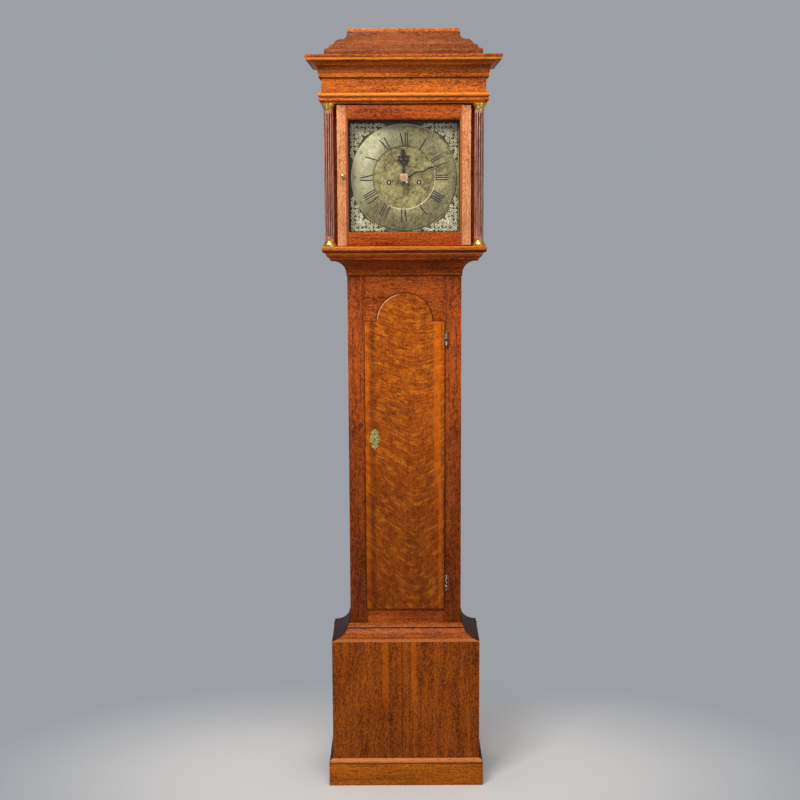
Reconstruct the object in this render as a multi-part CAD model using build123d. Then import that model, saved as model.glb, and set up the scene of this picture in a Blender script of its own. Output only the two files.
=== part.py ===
from build123d import *
import math
import os

# Longcase clock in oak with a twelve-inch brass dial. Millimetres, +Z up, front towards -Y.
# The origin lies on the floor, in the middle of the clock's overall box.

# Heights of the case, stacked from the floor
PLINTH_HEIGHT = 79
PLINTH_BEAD = 16
BASE_HEIGHT = 427
BASE_MOULDING_HEIGHT = 42
TRUNK_FRONT_HEIGHT = 1000
THROAT_HEIGHT = 49
HOOD_SEAT_GAP = 0.4
HOOD_BASE_HEIGHT = 36
HOOD_FRONT_HEIGHT = 381
ARCHITRAVE_HEIGHT = 29
FRIEZE_HEIGHT = 39
CORNICE_HEIGHT = 58
ROOF_THICKNESS = 12
CADDY_LOWER_HEIGHT = 30
CADDY_UPPER_HEIGHT = 38
CADDY_BOARD_HEIGHT = 9

# Widths and depths of the case
TRUNK_WIDTH = 318
TRUNK_DEPTH = 178
BASE_PROJECTION = 52
PLINTH_THICKNESS = 11
THROAT_PROJECTION = 44
HOOD_SIDE_THICKNESS = 18
HOOD_DEPTH = 245
FRIEZE_THICKNESS = 20
FRIEZE_PROUD = 4
CORNICE_PROJECTION = 41
ARCHITRAVE_PROJECTION = 10
HOOD_BASE_PROJECTION = 23
CADDY_INSET = 8
CADDY_BOARD_WIDTH = 303
BOARD = 16
BACKBOARD = 14
FACE_FRAME = 18
STILE_WIDTH = 51
BACKBOARD_EAR = 4
BACKBOARD_EAR_DROP = 9
BASE_JOINT_X = -11.5
SLIDE_GAP = 2
CHEEK_GAP = 2

# Trunk door
DOOR_BOTTOM_RAIL = 41
TRUNK_DOOR_WIDTH = 226
TRUNK_TOP_RAIL = 45.5
ARCH_RADIUS = 79.5
DOOR_LIP = 6
LIP_THICKNESS = 8
DOOR_TONGUE = 12
DOOR_GAP = 1.5
HINGE_HEIGHT = 44
HINGE_RADIUS = 3.5
HINGE_PIN_RADIUS = 1.5
HINGE_LEAF = 1.2
HINGE_LEAF_WIDTH = 9
UPPER_HINGE_DROP = 31
LOWER_HINGE_RISE = 55
LOCK_SIZE = (32, 10, 46)
LOCK_EDGE = 10
ESCUTCHEON_HEIGHT = 60
ESCUTCHEON_WIDTH = 31
ESCUTCHEON_THICKNESS = 1.5
ESCUTCHEON_X = -85
ESCUTCHEON_RISE = 499
KEYHOLE_RADIUS = 2.6

# Hood door, mask and columns
HOOD_DOOR_WIDTH = 362
HOOD_DOOR_THICKNESS = 22
HOOD_DOOR_CLEARANCE = 1
HOOD_DOOR_TOP_GAP = 3
HOOD_STILE = 30
HOOD_TOP_RAIL = 40
HOOD_BOTTOM_RAIL = 37
REBATE = 5
GLASS_THICKNESS = 2.5
GLASS_CLEARANCE = 0.5
PIVOT_INSET = 5
PIVOT_RADIUS = 2.5
PIVOT_LENGTH = 8
PIVOT_PLATE = (20, 14, 2)
KNOB_RADIUS = 6
KNOB_LENGTH = 14
MASK_THICKNESS = 14
MASK_OPENING = 300
MASK_DOOR_GAP = 2
COLUMN_RADIUS = 12.8
COLUMN_CAP_RADIUS = 19
COLUMN_BRASS_WALL = 0.4
COLUMN_CAP_HEIGHT = 18
COLUMN_BASE_HEIGHT = 19
COLUMN_SPREAD = 2
COLUMN_BACK_GAP = 1
FLUTES = 12
FLUTE_RADIUS = 2.1

# Dial and hands
DIAL_SIZE = 305
DIAL_THICKNESS = 2
DIAL_DROP = 3.4
DIAL_MASK_GAP = 7
RING_OUTER = 145
RING_INNER = 84.5
RING_THICKNESS = 1.5
SPANDREL_SIZE = 100
SPANDREL_MARGIN = 6
SPANDREL_THICKNESS = 3
SPANDREL_RING_GAP = 3
WINDING_HOLE = 6.3
DIAL_CENTRE_HOLE = 6
FOOT_RADIUS = 4
FOOT_OFFSET = 60
HAND_THICKNESS = 1
HOUR_HAND_LENGTH = 84
HOUR_HAND_ANGLE = -1.5
MINUTE_HAND_LENGTH = 133
MINUTE_HAND_ANGLE = 70.8
HOUR_HAND_STANDOFF = 2
HAND_SPACING = 3
COLLET_SIZE = 21

# Movement frame
DIAL_STANDOFF = 26
PLATE_THICKNESS = 3
PLATE_SPACING = 68
PLATE_WIDTH = 150
PLATE_ABOVE = 85
PLATE_BELOW = 88
PILLAR_RADIUS = 5
PILLAR_INSET = 16
ARBOR_RADIUS = 1.5
PIVOT_PIN = 1.1
STUD_RADIUS = 0.9
RUNNING_FIT = 0.05
END_SHAKE = 0.4
SEATBOARD_THICKNESS = 20
SEATBOARD_DEPTH = 125
BARREL_X = 41
BARREL_DROP = 13
BARREL_RADIUS = 25
BARREL_ARBOR = 5
SQUARE_SIZE = 6
SQUARE_PROUD = 2
WHEEL_THICKNESS = 2
LINE_RADIUS = 0.8

# Wheel trains: teeth, with the module of each pair of wheel and pinion
CENTRE_DISTANCE = math.hypot(BARREL_X, BARREL_DROP)
GOING_GREAT_TEETH = (96, 8)
CENTRE_TEETH = (60, 8)
CENTRE_MODULE = 0.75
THIRD_TEETH = (56, 7)
THIRD_MODULE = 0.7
THIRD_X = 10
ESCAPE_TEETH = 30
ESCAPE_RADIUS = 16
PALLET_CLEARANCE = 2
STRIKE_GREAT_TEETH = (78, 8)
STRIKE_GREAT_MODULE = 0.95
PIN_WHEEL_TEETH = (56, 7)
PIN_MODULE = 0.8
GATHERING_TEETH = (56, 7)
GATHERING_MODULE = 0.7
WARNING_TEETH = (49, 7)
WARNING_MODULE = 0.65
STRIKE_ANGLES = (102.4, 75, 20, 120)
LIFTING_PINS = 8
LIFTING_PIN_CIRCLE = 18
LIFTING_PIN_RADIUS = 1
FLY_RADIUS = 12
MOTION_TEETH = 36
MOTION_MODULE = 0.8
HOUR_TEETH = (72, 6)
CANNON_RADIUS = 2.6
HOUR_PIPE_RADIUS = 4

# Places of the wheels along the arbors, measured back from the front plate
GREAT_LEVEL = 4
BARREL_LEVEL = 8.5
BARREL_LENGTH = 48
CENTRE_LEVEL = 59.5
THIRD_LEVEL = 50
ESCAPE_LEVEL = 19
WARNING_LEVEL = 43
FLY_LEVEL = (8, 40)
MOTION_LEVEL = 4.5
HOUR_LEVEL = 11.5

# Pendulum, bell, hammer and weights
PENDULUM_STANDOFF = 15
PENDULUM_LENGTH = 1000
PENDULUM_TAIL = 80
ROD_RADIUS = 2.5
BOB_RADIUS = 52
BOB_THICKNESS = 22
NUT_RADIUS = 8
CRUTCH_LENGTH = 114
FORK_CLEARANCE = 0.5
SPRING_LENGTH = 34
SPRING_HALF = 0.4
SMALL_GAP = 0.5
BELL_RADIUS = 46
BELL_HEIGHT = 36
BELL_WALL = 2.5
BELL_ABOVE = 6
BELL_Y = 10
BELL_STAND_X = 40
BELL_STAND_WIDTH = 8
BELL_STAND_RISE = 40
BELL_ARM_GAP = 8
BELL_ARM_HEIGHT = 6
HAMMER_PLACE = (-70, 78)
HAMMER_GAP = 1.5
HAMMER_HEAD_RADIUS = 5
HAMMER_HEAD_HEIGHT = 100
WEIGHT_RADIUS = 27.5
WEIGHT_LENGTH = 230
WEIGHT_Y = 18
WEIGHT_FLOOR_GAP = 120
PULLEY_RADIUS = 21
PULLEY_FLANGE = 24
PULLEY_WIDTH = 8
PULLEY_PIN = 3
STIRRUP_WALL = 2
STIRRUP_DROP = 34
HOOK_LENGTH = 14

# Levels and faces that follow from the sizes above
BACK_Y = (HOOD_DEPTH + FRIEZE_PROUD + CORNICE_PROJECTION) / 2
INSIDE_BACK = BACK_Y - BACKBOARD
TRUNK_FRONT = BACK_Y - TRUNK_DEPTH
TRUNK_HALF = TRUNK_WIDTH / 2
BASE_FRONT = TRUNK_FRONT - BASE_PROJECTION
BASE_HALF = TRUNK_HALF + BASE_PROJECTION
TRUNK_BOTTOM = BASE_HEIGHT + BASE_MOULDING_HEIGHT
TRUNK_TOP = TRUNK_BOTTOM + TRUNK_FRONT_HEIGHT
HOOD_SEAT = TRUNK_TOP + THROAT_HEIGHT + HOOD_SEAT_GAP
HOOD_FLOOR = HOOD_SEAT + HOOD_BASE_HEIGHT
HOOD_TOP = HOOD_FLOOR + HOOD_FRONT_HEIGHT
FRIEZE_BOTTOM = HOOD_TOP + ARCHITRAVE_HEIGHT
CORNICE_BOTTOM = FRIEZE_BOTTOM + FRIEZE_HEIGHT
CORNICE_TOP = CORNICE_BOTTOM + CORNICE_HEIGHT
ROOF_BOTTOM = CORNICE_TOP - ROOF_THICKNESS
HOOD_FRONT = BACK_Y - HOOD_DEPTH
HOOD_BODY_FRONT = HOOD_FRONT + HOOD_DOOR_THICKNESS
HOOD_DOOR_HALF = HOOD_DOOR_WIDTH / 2
HOOD_INNER = HOOD_DOOR_HALF + SLIDE_GAP
HOOD_OUTER = HOOD_INNER + HOOD_SIDE_THICKNESS
FRIEZE_HALF = HOOD_OUTER + FRIEZE_THICKNESS
FRIEZE_FRONT = HOOD_FRONT - FRIEZE_PROUD
MASK_FRONT = HOOD_BODY_FRONT + MASK_DOOR_GAP
DIAL_FRONT = MASK_FRONT + MASK_THICKNESS + DIAL_MASK_GAP
FRONT_PLATE = DIAL_FRONT + DIAL_THICKNESS + DIAL_STANDOFF
INSIDE_PLATE = FRONT_PLATE + PLATE_THICKNESS
REAR_PLATE = INSIDE_PLATE + PLATE_SPACING
COCK_FACE = REAR_PLATE + PLATE_THICKNESS
PENDULUM_Y = COCK_FACE + PENDULUM_STANDOFF
HOOD_DOOR_BOTTOM = HOOD_FLOOR + HOOD_DOOR_CLEARANCE
HOOD_DOOR_TOP = HOOD_TOP - HOOD_DOOR_TOP_GAP
DOOR_OPENING = (HOOD_DOOR_BOTTOM + HOOD_BOTTOM_RAIL, HOOD_DOOR_TOP - HOOD_TOP_RAIL)
DIAL_HEIGHT = sum(DOOR_OPENING) / 2 - DIAL_DROP
SEATBOARD_TOP = DIAL_HEIGHT - PLATE_BELOW
SEATBOARD_BOTTOM = SEATBOARD_TOP - SEATBOARD_THICKNESS
DOOR_BOTTOM = TRUNK_BOTTOM + DOOR_BOTTOM_RAIL
DOOR_SHOULDER = TRUNK_TOP - TRUNK_TOP_RAIL - ARCH_RADIUS
ESCUTCHEON_Z = DOOR_BOTTOM + ESCUTCHEON_RISE
TRUNK_DOOR_HALF = TRUNK_DOOR_WIDTH / 2
STILE_INNER = TRUNK_HALF - STILE_WIDTH
HINGE_X = TRUNK_DOOR_HALF + HINGE_RADIUS
HINGE_Y = TRUNK_FRONT - HINGE_RADIUS - HINGE_LEAF / 2
HINGE_BOTTOMS = (DOOR_BOTTOM + LOWER_HINGE_RISE, DOOR_SHOULDER - UPPER_HINGE_DROP - HINGE_HEIGHT)
PIVOT_X = HOOD_DOOR_HALF - PIVOT_INSET
PIVOT_Y = HOOD_FRONT + PIVOT_INSET
COLUMN_X = HOOD_OUTER + COLUMN_SPREAD
COLUMN_Y = HOOD_BODY_FRONT - COLUMN_CAP_RADIUS - COLUMN_BACK_GAP
PULLEY_PITCH = PULLEY_RADIUS + LINE_RADIUS
LINE_OUTER = BARREL_X + BARREL_RADIUS + LINE_RADIUS
PULLEY_X = LINE_OUTER - PULLEY_PITCH
LINE_INNER = PULLEY_X - PULLEY_PITCH
PULLEY_Z = WEIGHT_FLOOR_GAP + WEIGHT_LENGTH + HOOK_LENGTH + STIRRUP_DROP


def at_angle(start, distance, degrees):
    """Point at a distance and direction from another, in the plane of the dial."""
    turn = math.radians(degrees)
    return start[0] + distance * math.cos(turn), start[1] + distance * math.sin(turn)


def pair_distance(teeth, module):
    """Distance between the arbors of a wheel and its pinion."""
    return sum(teeth) * module / 2


def direction(start, end):
    """Angle in degrees from one arbor to the next."""
    return math.degrees(math.atan2(end[1] - start[1], end[0] - start[0]))


# Arbor places across and above the middle of the dial
CENTRE_ARBOR = (0, 0)
GOING_ARBOR = (BARREL_X, -BARREL_DROP)
STRIKE_ARBOR = (-BARREL_X, -BARREL_DROP)
THIRD_ARBOR = (THIRD_X, math.sqrt(pair_distance(CENTRE_TEETH, CENTRE_MODULE) ** 2 - THIRD_X**2))
ESCAPE_ARBOR = (0, THIRD_ARBOR[1] + math.sqrt(pair_distance(THIRD_TEETH, THIRD_MODULE) ** 2 - THIRD_X**2))
ANCHOR_ARBOR = (0, ESCAPE_ARBOR[1] + ESCAPE_RADIUS * math.sqrt(2))
PIN_ARBOR = at_angle(STRIKE_ARBOR, pair_distance(STRIKE_GREAT_TEETH, STRIKE_GREAT_MODULE), STRIKE_ANGLES[0])
GATHERING_ARBOR = at_angle(PIN_ARBOR, pair_distance(PIN_WHEEL_TEETH, PIN_MODULE), STRIKE_ANGLES[1])
WARNING_ARBOR = at_angle(GATHERING_ARBOR, pair_distance(GATHERING_TEETH, GATHERING_MODULE),
                         STRIKE_ANGLES[2])
FLY_ARBOR = at_angle(WARNING_ARBOR, pair_distance(WARNING_TEETH, WARNING_MODULE), STRIKE_ANGLES[3])
MOTION_DISTANCE = MOTION_TEETH * MOTION_MODULE
MINUTE_ARBOR = (0, -MOTION_DISTANCE)
GOING_MODULE = 2 * CENTRE_DISTANCE / sum(GOING_GREAT_TEETH)
HOUR_MODULE = 2 * MOTION_DISTANCE / sum(HOUR_TEETH)
PENDULUM_Z = DIAL_HEIGHT + ANCHOR_ARBOR[1]


def block(x0, x1, y0, y1, z0, z1):
    """Board or bar between two opposite corners."""
    middle = Pos((x0 + x1) / 2, (y0 + y1) / 2, (z0 + z1) / 2)
    return middle * Box(x1 - x0, y1 - y0, z1 - z0)


def bar_y(place, y0, y1, radius):
    """Round bar along Y at a place (x, z)."""
    return Pos(place[0], (y0 + y1) / 2, place[1]) * Rot(90, 0, 0) * Cylinder(radius, y1 - y0)


def bar_z(x, y, z0, z1, radius):
    """Upright round bar."""
    return Pos(x, y, (z0 + z1) / 2) * Cylinder(radius, z1 - z0)


def outline(points):
    """Closed flat face. A third value gives the rise of an arc that ends at its point."""
    edges = []
    start = points[0][:2]
    for point in points[1:] + points[:1]:
        end = point[:2]
        if len(point) == 3:
            edges.append(SagittaArc(start, end, point[2]))
        else:
            edges.append(Line(start, end))
        start = end
    return make_face(edges)


def slab_y(face, y0, y1):
    """Plate between two depths from a face drawn in x and z."""
    plane = Plane(origin=(0, y1, 0), x_dir=(1, 0, 0), z_dir=(0, -1, 0))
    return extrude(plane * face, y1 - y0)


def slab_z(points, z0, z1):
    """Plate between two heights from corners in x and y."""
    return extrude(Pos(0, 0, z0) * make_face(Polyline(*points, close=True)), z1 - z0)


def turned(points, x, y, z):
    """Round piece turned about an upright axis from points (radius, height)."""
    return Pos(x, y, z) * revolve(Plane.XZ * outline(points), Axis.Z)


def both_sides(shape):
    """A right-hand piece and its mirror image on the left."""
    return [shape, mirror(shape, about=Plane.YZ)]


def mitred(profile, half, front, back):
    """Front moulding and its two returns, mitred at the front corners.

    The profile holds points (projection, height) from faces at x = half and y = front."""
    face = outline(profile)
    near, far = face.bounding_box().min.X, face.bounding_box().max.X
    low, high = face.bounding_box().min.Y - 1, face.bounding_box().max.Y + 1
    reach = half + far
    along_x = Plane(origin=(reach, front, 0), x_dir=(0, -1, 0), z_dir=(-1, 0, 0))
    corners = [(-reach, front - far), (reach, front - far)]
    corners += [(half + near, front - near), (-half - near, front - near)]
    front_piece = extrude(along_x * face, 2 * reach) & slab_z(corners, low, high)
    along_y = Plane(origin=(half, back, 0), x_dir=(1, 0, 0), z_dir=(0, -1, 0))
    corners = [(half + near, front - near), (reach, front - far), (reach, back), (half + near, back)]
    side = extrude(along_y * face, back - front + far) & slab_z(corners, low, high)
    return [front_piece] + both_sides(side)


def save(name, shapes):
    """Write one or more solids as one named sub-part."""
    solids = []
    for shape in shapes if isinstance(shapes, list) else [shapes]:
        solids.extend(shape.solids())
    export_step(Compound(label=name, children=solids), f"parts/{name}.step")


# Case


def backboard():
    hood_half = HOOD_INNER - SLIDE_GAP
    ear_half = BASE_HALF + BACKBOARD_EAR
    ear_top = BASE_HEIGHT - BACKBOARD_EAR_DROP
    hood_start = HOOD_FLOOR + SLIDE_GAP
    top = ROOF_BOTTOM - SLIDE_GAP
    right = [(ear_half, 0), (ear_half, ear_top), (TRUNK_HALF, ear_top), (TRUNK_HALF, hood_start)]
    right += [(hood_half, hood_start), (hood_half, top)]
    left = [(-x, z) for x, z in reversed(right)]
    return slab_y(outline(right + left), INSIDE_BACK, BACK_Y)


def trunk_sides():
    inner = TRUNK_HALF - BOARD
    inside_front = TRUNK_FRONT + FACE_FRAME
    return both_sides(block(inner, TRUNK_HALF, inside_front, INSIDE_BACK, BASE_HEIGHT, SEATBOARD_BOTTOM))


def door_shape(margin):
    """Arched outline of the trunk door, made larger by a margin."""
    half = TRUNK_DOOR_HALF + margin
    radius = ARCH_RADIUS + margin
    low = DOOR_BOTTOM - margin
    high = DOOR_SHOULDER + margin
    rise = math.sqrt(radius**2 - margin**2)
    crown = DOOR_SHOULDER + radius
    edges = [Line((-half, low), (half, low)), Line((half, low), (half, high))]
    edges += [Line((half, high), (rise, high)), ThreePointArc((rise, high), (0, crown), (-rise, high))]
    edges += [Line((-rise, high), (-half, high)), Line((-half, high), (-half, low))]
    return make_face(edges)


def trunk_face_frame():
    """Two stiles, the arched top rail and the bottom rail round the door."""
    back = TRUNK_FRONT + FACE_FRAME
    stile = block(STILE_INNER, TRUNK_HALF, TRUNK_FRONT, back, BASE_HEIGHT, TRUNK_TOP)
    rail_bottom = DOOR_SHOULDER - DOOR_LIP
    top_rail = block(-STILE_INNER, STILE_INNER, TRUNK_FRONT, back, rail_bottom, TRUNK_TOP)
    arch = slab_y(door_shape(-DOOR_LIP), TRUNK_FRONT - 1, back + 1)
    low_top = DOOR_BOTTOM + DOOR_LIP
    low_rail = block(-STILE_INNER, STILE_INNER, TRUNK_FRONT, back, BASE_HEIGHT, low_top)
    return both_sides(stile) + [top_rail - arch, low_rail]


def throat_mouldings():
    reach = THROAT_PROJECTION
    low = TRUNK_TOP
    top = TRUNK_TOP + THROAT_HEIGHT
    fillet = 5
    profile = [(-FACE_FRAME, low), (2, low), (2, low + fillet), (reach - 4, top - fillet, 11)]
    profile += [(reach, top - fillet), (reach, top), (-FACE_FRAME, top)]
    pieces = mitred(profile, TRUNK_HALF, TRUNK_FRONT, BACK_Y)
    cheeks = block(-TRUNK_HALF, TRUNK_HALF, TRUNK_FRONT + FACE_FRAME, BACK_Y, low - 1, top + 1)
    return [piece - cheeks for piece in pieces]


def base_mouldings():
    reach = BASE_PROJECTION
    low = BASE_HEIGHT
    top = TRUNK_BOTTOM
    fillet = 7
    profile = [(0, low), (reach, low), (reach, low + 3), (fillet + 1, top - 2 * fillet, 8)]
    profile += [(fillet, top - 2 * fillet), (fillet, top - fillet, -2), (fillet - 2, top - fillet)]
    profile += [(fillet - 2, top - 2), (fillet - 4, top, -1), (0, top)]
    return mitred(profile, TRUNK_HALF, TRUNK_FRONT, INSIDE_BACK)


def base_front_boards():
    back = BASE_FRONT + BOARD
    left = block(-BASE_HALF, BASE_JOINT_X, BASE_FRONT, back, 0, BASE_HEIGHT)
    right = block(BASE_JOINT_X, BASE_HALF, BASE_FRONT, back, 0, BASE_HEIGHT)
    return [left, right]


def base_sides():
    inner = BASE_HALF - BOARD
    return both_sides(block(inner, BASE_HALF, BASE_FRONT + BOARD, INSIDE_BACK, 0, BASE_HEIGHT))


def plinth_boards():
    thick = PLINTH_THICKNESS
    bead = PLINTH_HEIGHT - PLINTH_BEAD
    profile = [(0, 0), (thick, 0), (thick, bead), (thick - 3, bead + 2)]
    profile += [(thick - 3, bead + 5), (3, PLINTH_HEIGHT, -2.5), (0, PLINTH_HEIGHT)]
    return mitred(profile, BASE_HALF, BASE_FRONT, INSIDE_BACK)


def seatboard():
    front = TRUNK_FRONT + FACE_FRAME
    back = front + SEATBOARD_DEPTH
    low, top = SEATBOARD_BOTTOM, SEATBOARD_TOP
    board = block(-TRUNK_HALF, TRUNK_HALF, front, back, low, top)
    board -= block(-14, 14, COCK_FACE, back + 1, low - 1, top + 1)
    for x in (LINE_OUTER, -LINE_OUTER):
        board -= bar_z(x, WEIGHT_Y, low - 1, top + 1, 4)
    return board


def line_leads():
    """Gut between the seatboard and each barrel."""
    top = DIAL_HEIGHT - BARREL_DROP
    return both_sides(bar_z(LINE_OUTER + RUNNING_FIT, WEIGHT_Y, SEATBOARD_BOTTOM, top, LINE_RADIUS))


def knuckle(z0, z1):
    return bar_z(HINGE_X, HINGE_Y, z0, z1, HINGE_RADIUS)


def trunk_hinge_plates():
    """Fixed hinge leaves with two knuckles and the pin, screwed to the right stile."""
    plates = []
    for low in HINGE_BOTTOMS:
        third = HINGE_HEIGHT / 3
        high = low + HINGE_HEIGHT
        edge = HINGE_X + HINGE_LEAF_WIDTH
        plate = block(HINGE_X, edge, TRUNK_FRONT - HINGE_LEAF, TRUNK_FRONT, low, high)
        plate += knuckle(low, high)
        plate -= bar_z(HINGE_X, HINGE_Y, low + third, low + 2 * third, HINGE_RADIUS + SMALL_GAP)
        plates.append(plate + bar_z(HINGE_X, HINGE_Y, low, high, HINGE_PIN_RADIUS))
    return plates


# Trunk door


def trunk_door():
    front = TRUNK_FRONT - LIP_THICKNESS
    lip = slab_y(door_shape(0), 0, LIP_THICKNESS)
    edges = lip.faces().sort_by(Axis.Y)[0].edges()
    lip = Pos(0, front, 0) * fillet(edges, LIP_THICKNESS * 0.6)
    door = lip + slab_y(door_shape(-DOOR_LIP - DOOR_GAP), TRUNK_FRONT, TRUNK_FRONT + DOOR_TONGUE)
    notch = HINGE_X - HINGE_RADIUS - DOOR_LIP - DOOR_GAP
    for low in HINGE_BOTTOMS:
        high = low + HINGE_HEIGHT + SMALL_GAP
        door -= block(notch, TRUNK_DOOR_HALF + 1, front - 1, TRUNK_FRONT, low - SMALL_GAP, high)
    door -= bar_y((ESCUTCHEON_X, ESCUTCHEON_Z), front - 1, TRUNK_FRONT + DOOR_TONGUE + 1, KEYHOLE_RADIUS)
    return door


def trunk_door_hinge_leaves():
    leaves = []
    third = HINGE_HEIGHT / 3
    start = HINGE_X - HINGE_RADIUS - DOOR_LIP - DOOR_GAP
    for low in HINGE_BOTTOMS:
        high = low + HINGE_HEIGHT
        z0 = low + third + RUNNING_FIT
        z1 = low + 2 * third - RUNNING_FIT
        back = HINGE_Y + HINGE_LEAF / 2
        leaf = block(start, HINGE_X - HINGE_RADIUS - SMALL_GAP, back - HINGE_LEAF, back, low, high)
        leaf += block(start, HINGE_X, back - HINGE_LEAF, back, z0, z1)
        leaf += knuckle(z0, z1)
        leaves.append(leaf - bar_z(HINGE_X, HINGE_Y, low, high, HINGE_PIN_RADIUS + RUNNING_FIT))
    return leaves


def trunk_door_escutcheon():
    """Cast brass plate with a leaf point above two stepped lobes."""
    half = ESCUTCHEON_WIDTH / 2
    tall = ESCUTCHEON_HEIGHT / 2
    right = [(3, -tall), (0.55 * half, -0.75 * tall, -2), (0.5 * half, -0.45 * tall, -2)]
    right += [(0.9 * half, -0.3 * tall), (half, 0, -2), (0.75 * half, 0.3 * tall, -2)]
    right += [(0.5 * half, 0.42 * tall), (0.8 * half, 0.6 * tall, -2), (0.2 * half, 0.9 * tall)]
    left = [(-x, z) for x, z, *_ in reversed(right)]
    face = outline(right + [(0, tall)] + left)
    back = TRUNK_FRONT - LIP_THICKNESS
    plate = slab_y(Pos(ESCUTCHEON_X, ESCUTCHEON_Z) * face, back - ESCUTCHEON_THICKNESS, back)
    plate -= bar_y((ESCUTCHEON_X, ESCUTCHEON_Z), back - 3, back + 1, KEYHOLE_RADIUS)
    slot = KEYHOLE_RADIUS / 2
    keyway = block(ESCUTCHEON_X - slot, ESCUTCHEON_X + slot, back - 3, back + 1,
                   ESCUTCHEON_Z - 9, ESCUTCHEON_Z)
    return plate - keyway


def trunk_door_lock():
    wide, deep, tall = LOCK_SIZE
    front = TRUNK_FRONT + DOOR_TONGUE
    start = -TRUNK_DOOR_HALF + LOCK_EDGE
    box = block(start, start + wide, front, front + deep, ESCUTCHEON_Z - tall / 2, ESCUTCHEON_Z + tall / 2)
    return box - bar_y((ESCUTCHEON_X, ESCUTCHEON_Z), front - 1, front + 7, KEYHOLE_RADIUS)


# Hood


def hood_sides():
    return both_sides(block(HOOD_INNER, HOOD_OUTER, HOOD_BODY_FRONT, BACK_Y, HOOD_FLOOR, ROOF_BOTTOM))


def hood_frieze():
    inside = FRIEZE_FRONT + FRIEZE_THICKNESS
    front = block(-FRIEZE_HALF, FRIEZE_HALF, FRIEZE_FRONT, inside, HOOD_TOP, ROOF_BOTTOM)
    front -= bar_z(PIVOT_X, PIVOT_Y, HOOD_TOP - 1, HOOD_TOP + PIVOT_LENGTH, PIVOT_RADIUS + RUNNING_FIT)
    side = block(HOOD_OUTER, FRIEZE_HALF, inside, BACK_Y, HOOD_TOP, ROOF_BOTTOM)
    return [front] + both_sides(side)


def hood_architrave():
    low, top, reach = HOOD_TOP, FRIEZE_BOTTOM, ARCHITRAVE_PROJECTION
    torus = top - 12
    profile = [(0, low), (2, low), (2, low + 4), (reach - 3, low + 11, -2), (reach - 3, torus - 2)]
    bead = top - torus
    profile += [(reach - 5, torus - 2), (reach - 5, torus), (reach - bead / 2, torus)]
    profile += [(reach - bead / 2, top, -bead / 2), (0, top)]
    return mitred(profile, FRIEZE_HALF, FRIEZE_FRONT, BACK_Y)


def hood_cornice():
    low, top, reach = CORNICE_BOTTOM, CORNICE_TOP, CORNICE_PROJECTION
    profile = [(0, low), (7, low), (7, low + 11), (9, low + 13), (reach - 10, top - 18, 8)]
    profile += [(reach - 7, top - 18), (reach - 2, top - 9, -2), (reach - 2, top - 7)]
    profile += [(reach, top - 7), (reach, top), (0, top)]
    return mitred(profile, FRIEZE_HALF, FRIEZE_FRONT, BACK_Y)


def hood_roof_boards():
    roof = block(-FRIEZE_HALF, FRIEZE_HALF, FRIEZE_FRONT, BACK_Y, ROOF_BOTTOM, CORNICE_TOP)
    half = CADDY_BOARD_WIDTH / 2
    front = FRIEZE_FRONT + FRIEZE_HALF - half
    low = CORNICE_TOP + CADDY_LOWER_HEIGHT + CADDY_UPPER_HEIGHT
    return [roof, block(-half, half, front, BACK_Y, low, low + CADDY_BOARD_HEIGHT)]


def caddy_mouldings():
    """Two tiers of moulding that rise and draw in to the top board."""
    low = CORNICE_TOP
    step = low + CADDY_LOWER_HEIGHT
    top = step + CADDY_UPPER_HEIGHT
    rim = -CADDY_INSET
    crown = CADDY_BOARD_WIDTH / 2 - FRIEZE_HALF
    lower = [(rim - 34, low), (rim, low), (rim, low + 12), (rim - 7, low + 20, -2)]
    lower += [(rim - 14, step - 2, 2), (rim - 14, step), (rim - 34, step)]
    start = rim - 21
    upper = [(start - 21, step), (start, step), (start, step + 2), (start - 4, step + 4)]
    upper += [(start - 17, step + 17, -1.5), (crown + 2, top - 8, 5), (crown + 2, top), (crown - 14, top)]
    tiers = mitred(lower, FRIEZE_HALF, FRIEZE_FRONT, BACK_Y)
    return tiers + mitred(upper, FRIEZE_HALF, FRIEZE_FRONT, BACK_Y)


def hood_base_mouldings():
    low, top, reach = HOOD_SEAT, HOOD_FLOOR, HOOD_BASE_PROJECTION
    inner = TRUNK_HALF + CHEEK_GAP - HOOD_OUTER
    profile = [(inner, low), (4, low), (4, low + 5), (reach - 11, low + 15, -2.5), (reach - 9, low + 15)]
    profile += [(reach - 9, low + 18), (reach, low + 27, -2.5), (reach, low + 31)]
    profile += [(reach - 2, top, -1), (inner, top)]
    pieces = mitred(profile, HOOD_OUTER, HOOD_FRONT + SMALL_GAP, BACK_Y)
    hole = bar_z(PIVOT_X, PIVOT_Y, top - PIVOT_LENGTH, top + 1, PIVOT_RADIUS + RUNNING_FIT)
    return [piece - hole for piece in pieces]


def dial_mask():
    half = MASK_OPENING / 2
    back = MASK_FRONT + MASK_THICKNESS
    upright = block(half, HOOD_INNER, MASK_FRONT, back, HOOD_FLOOR, HOOD_TOP)
    low = block(-half, half, MASK_FRONT, back, HOOD_FLOOR, DIAL_HEIGHT - half + 4)
    high = block(-half, half, MASK_FRONT, back, DIAL_HEIGHT + half + 2, HOOD_TOP)
    return both_sides(upright) + [low, high]


def hood_columns():
    low = HOOD_FLOOR + COLUMN_BASE_HEIGHT
    high = HOOD_TOP - COLUMN_CAP_HEIGHT
    column = bar_z(COLUMN_X, COLUMN_Y, low, high, COLUMN_RADIUS)
    for number in range(FLUTES):
        turn = 360 / FLUTES * (number + 0.5)
        x, y = at_angle((COLUMN_X, COLUMN_Y), COLUMN_RADIUS + FLUTE_RADIUS / 3, turn)
        column -= bar_z(x, y, low + 8, high - 8, FLUTE_RADIUS)
    return both_sides(column)


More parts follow.
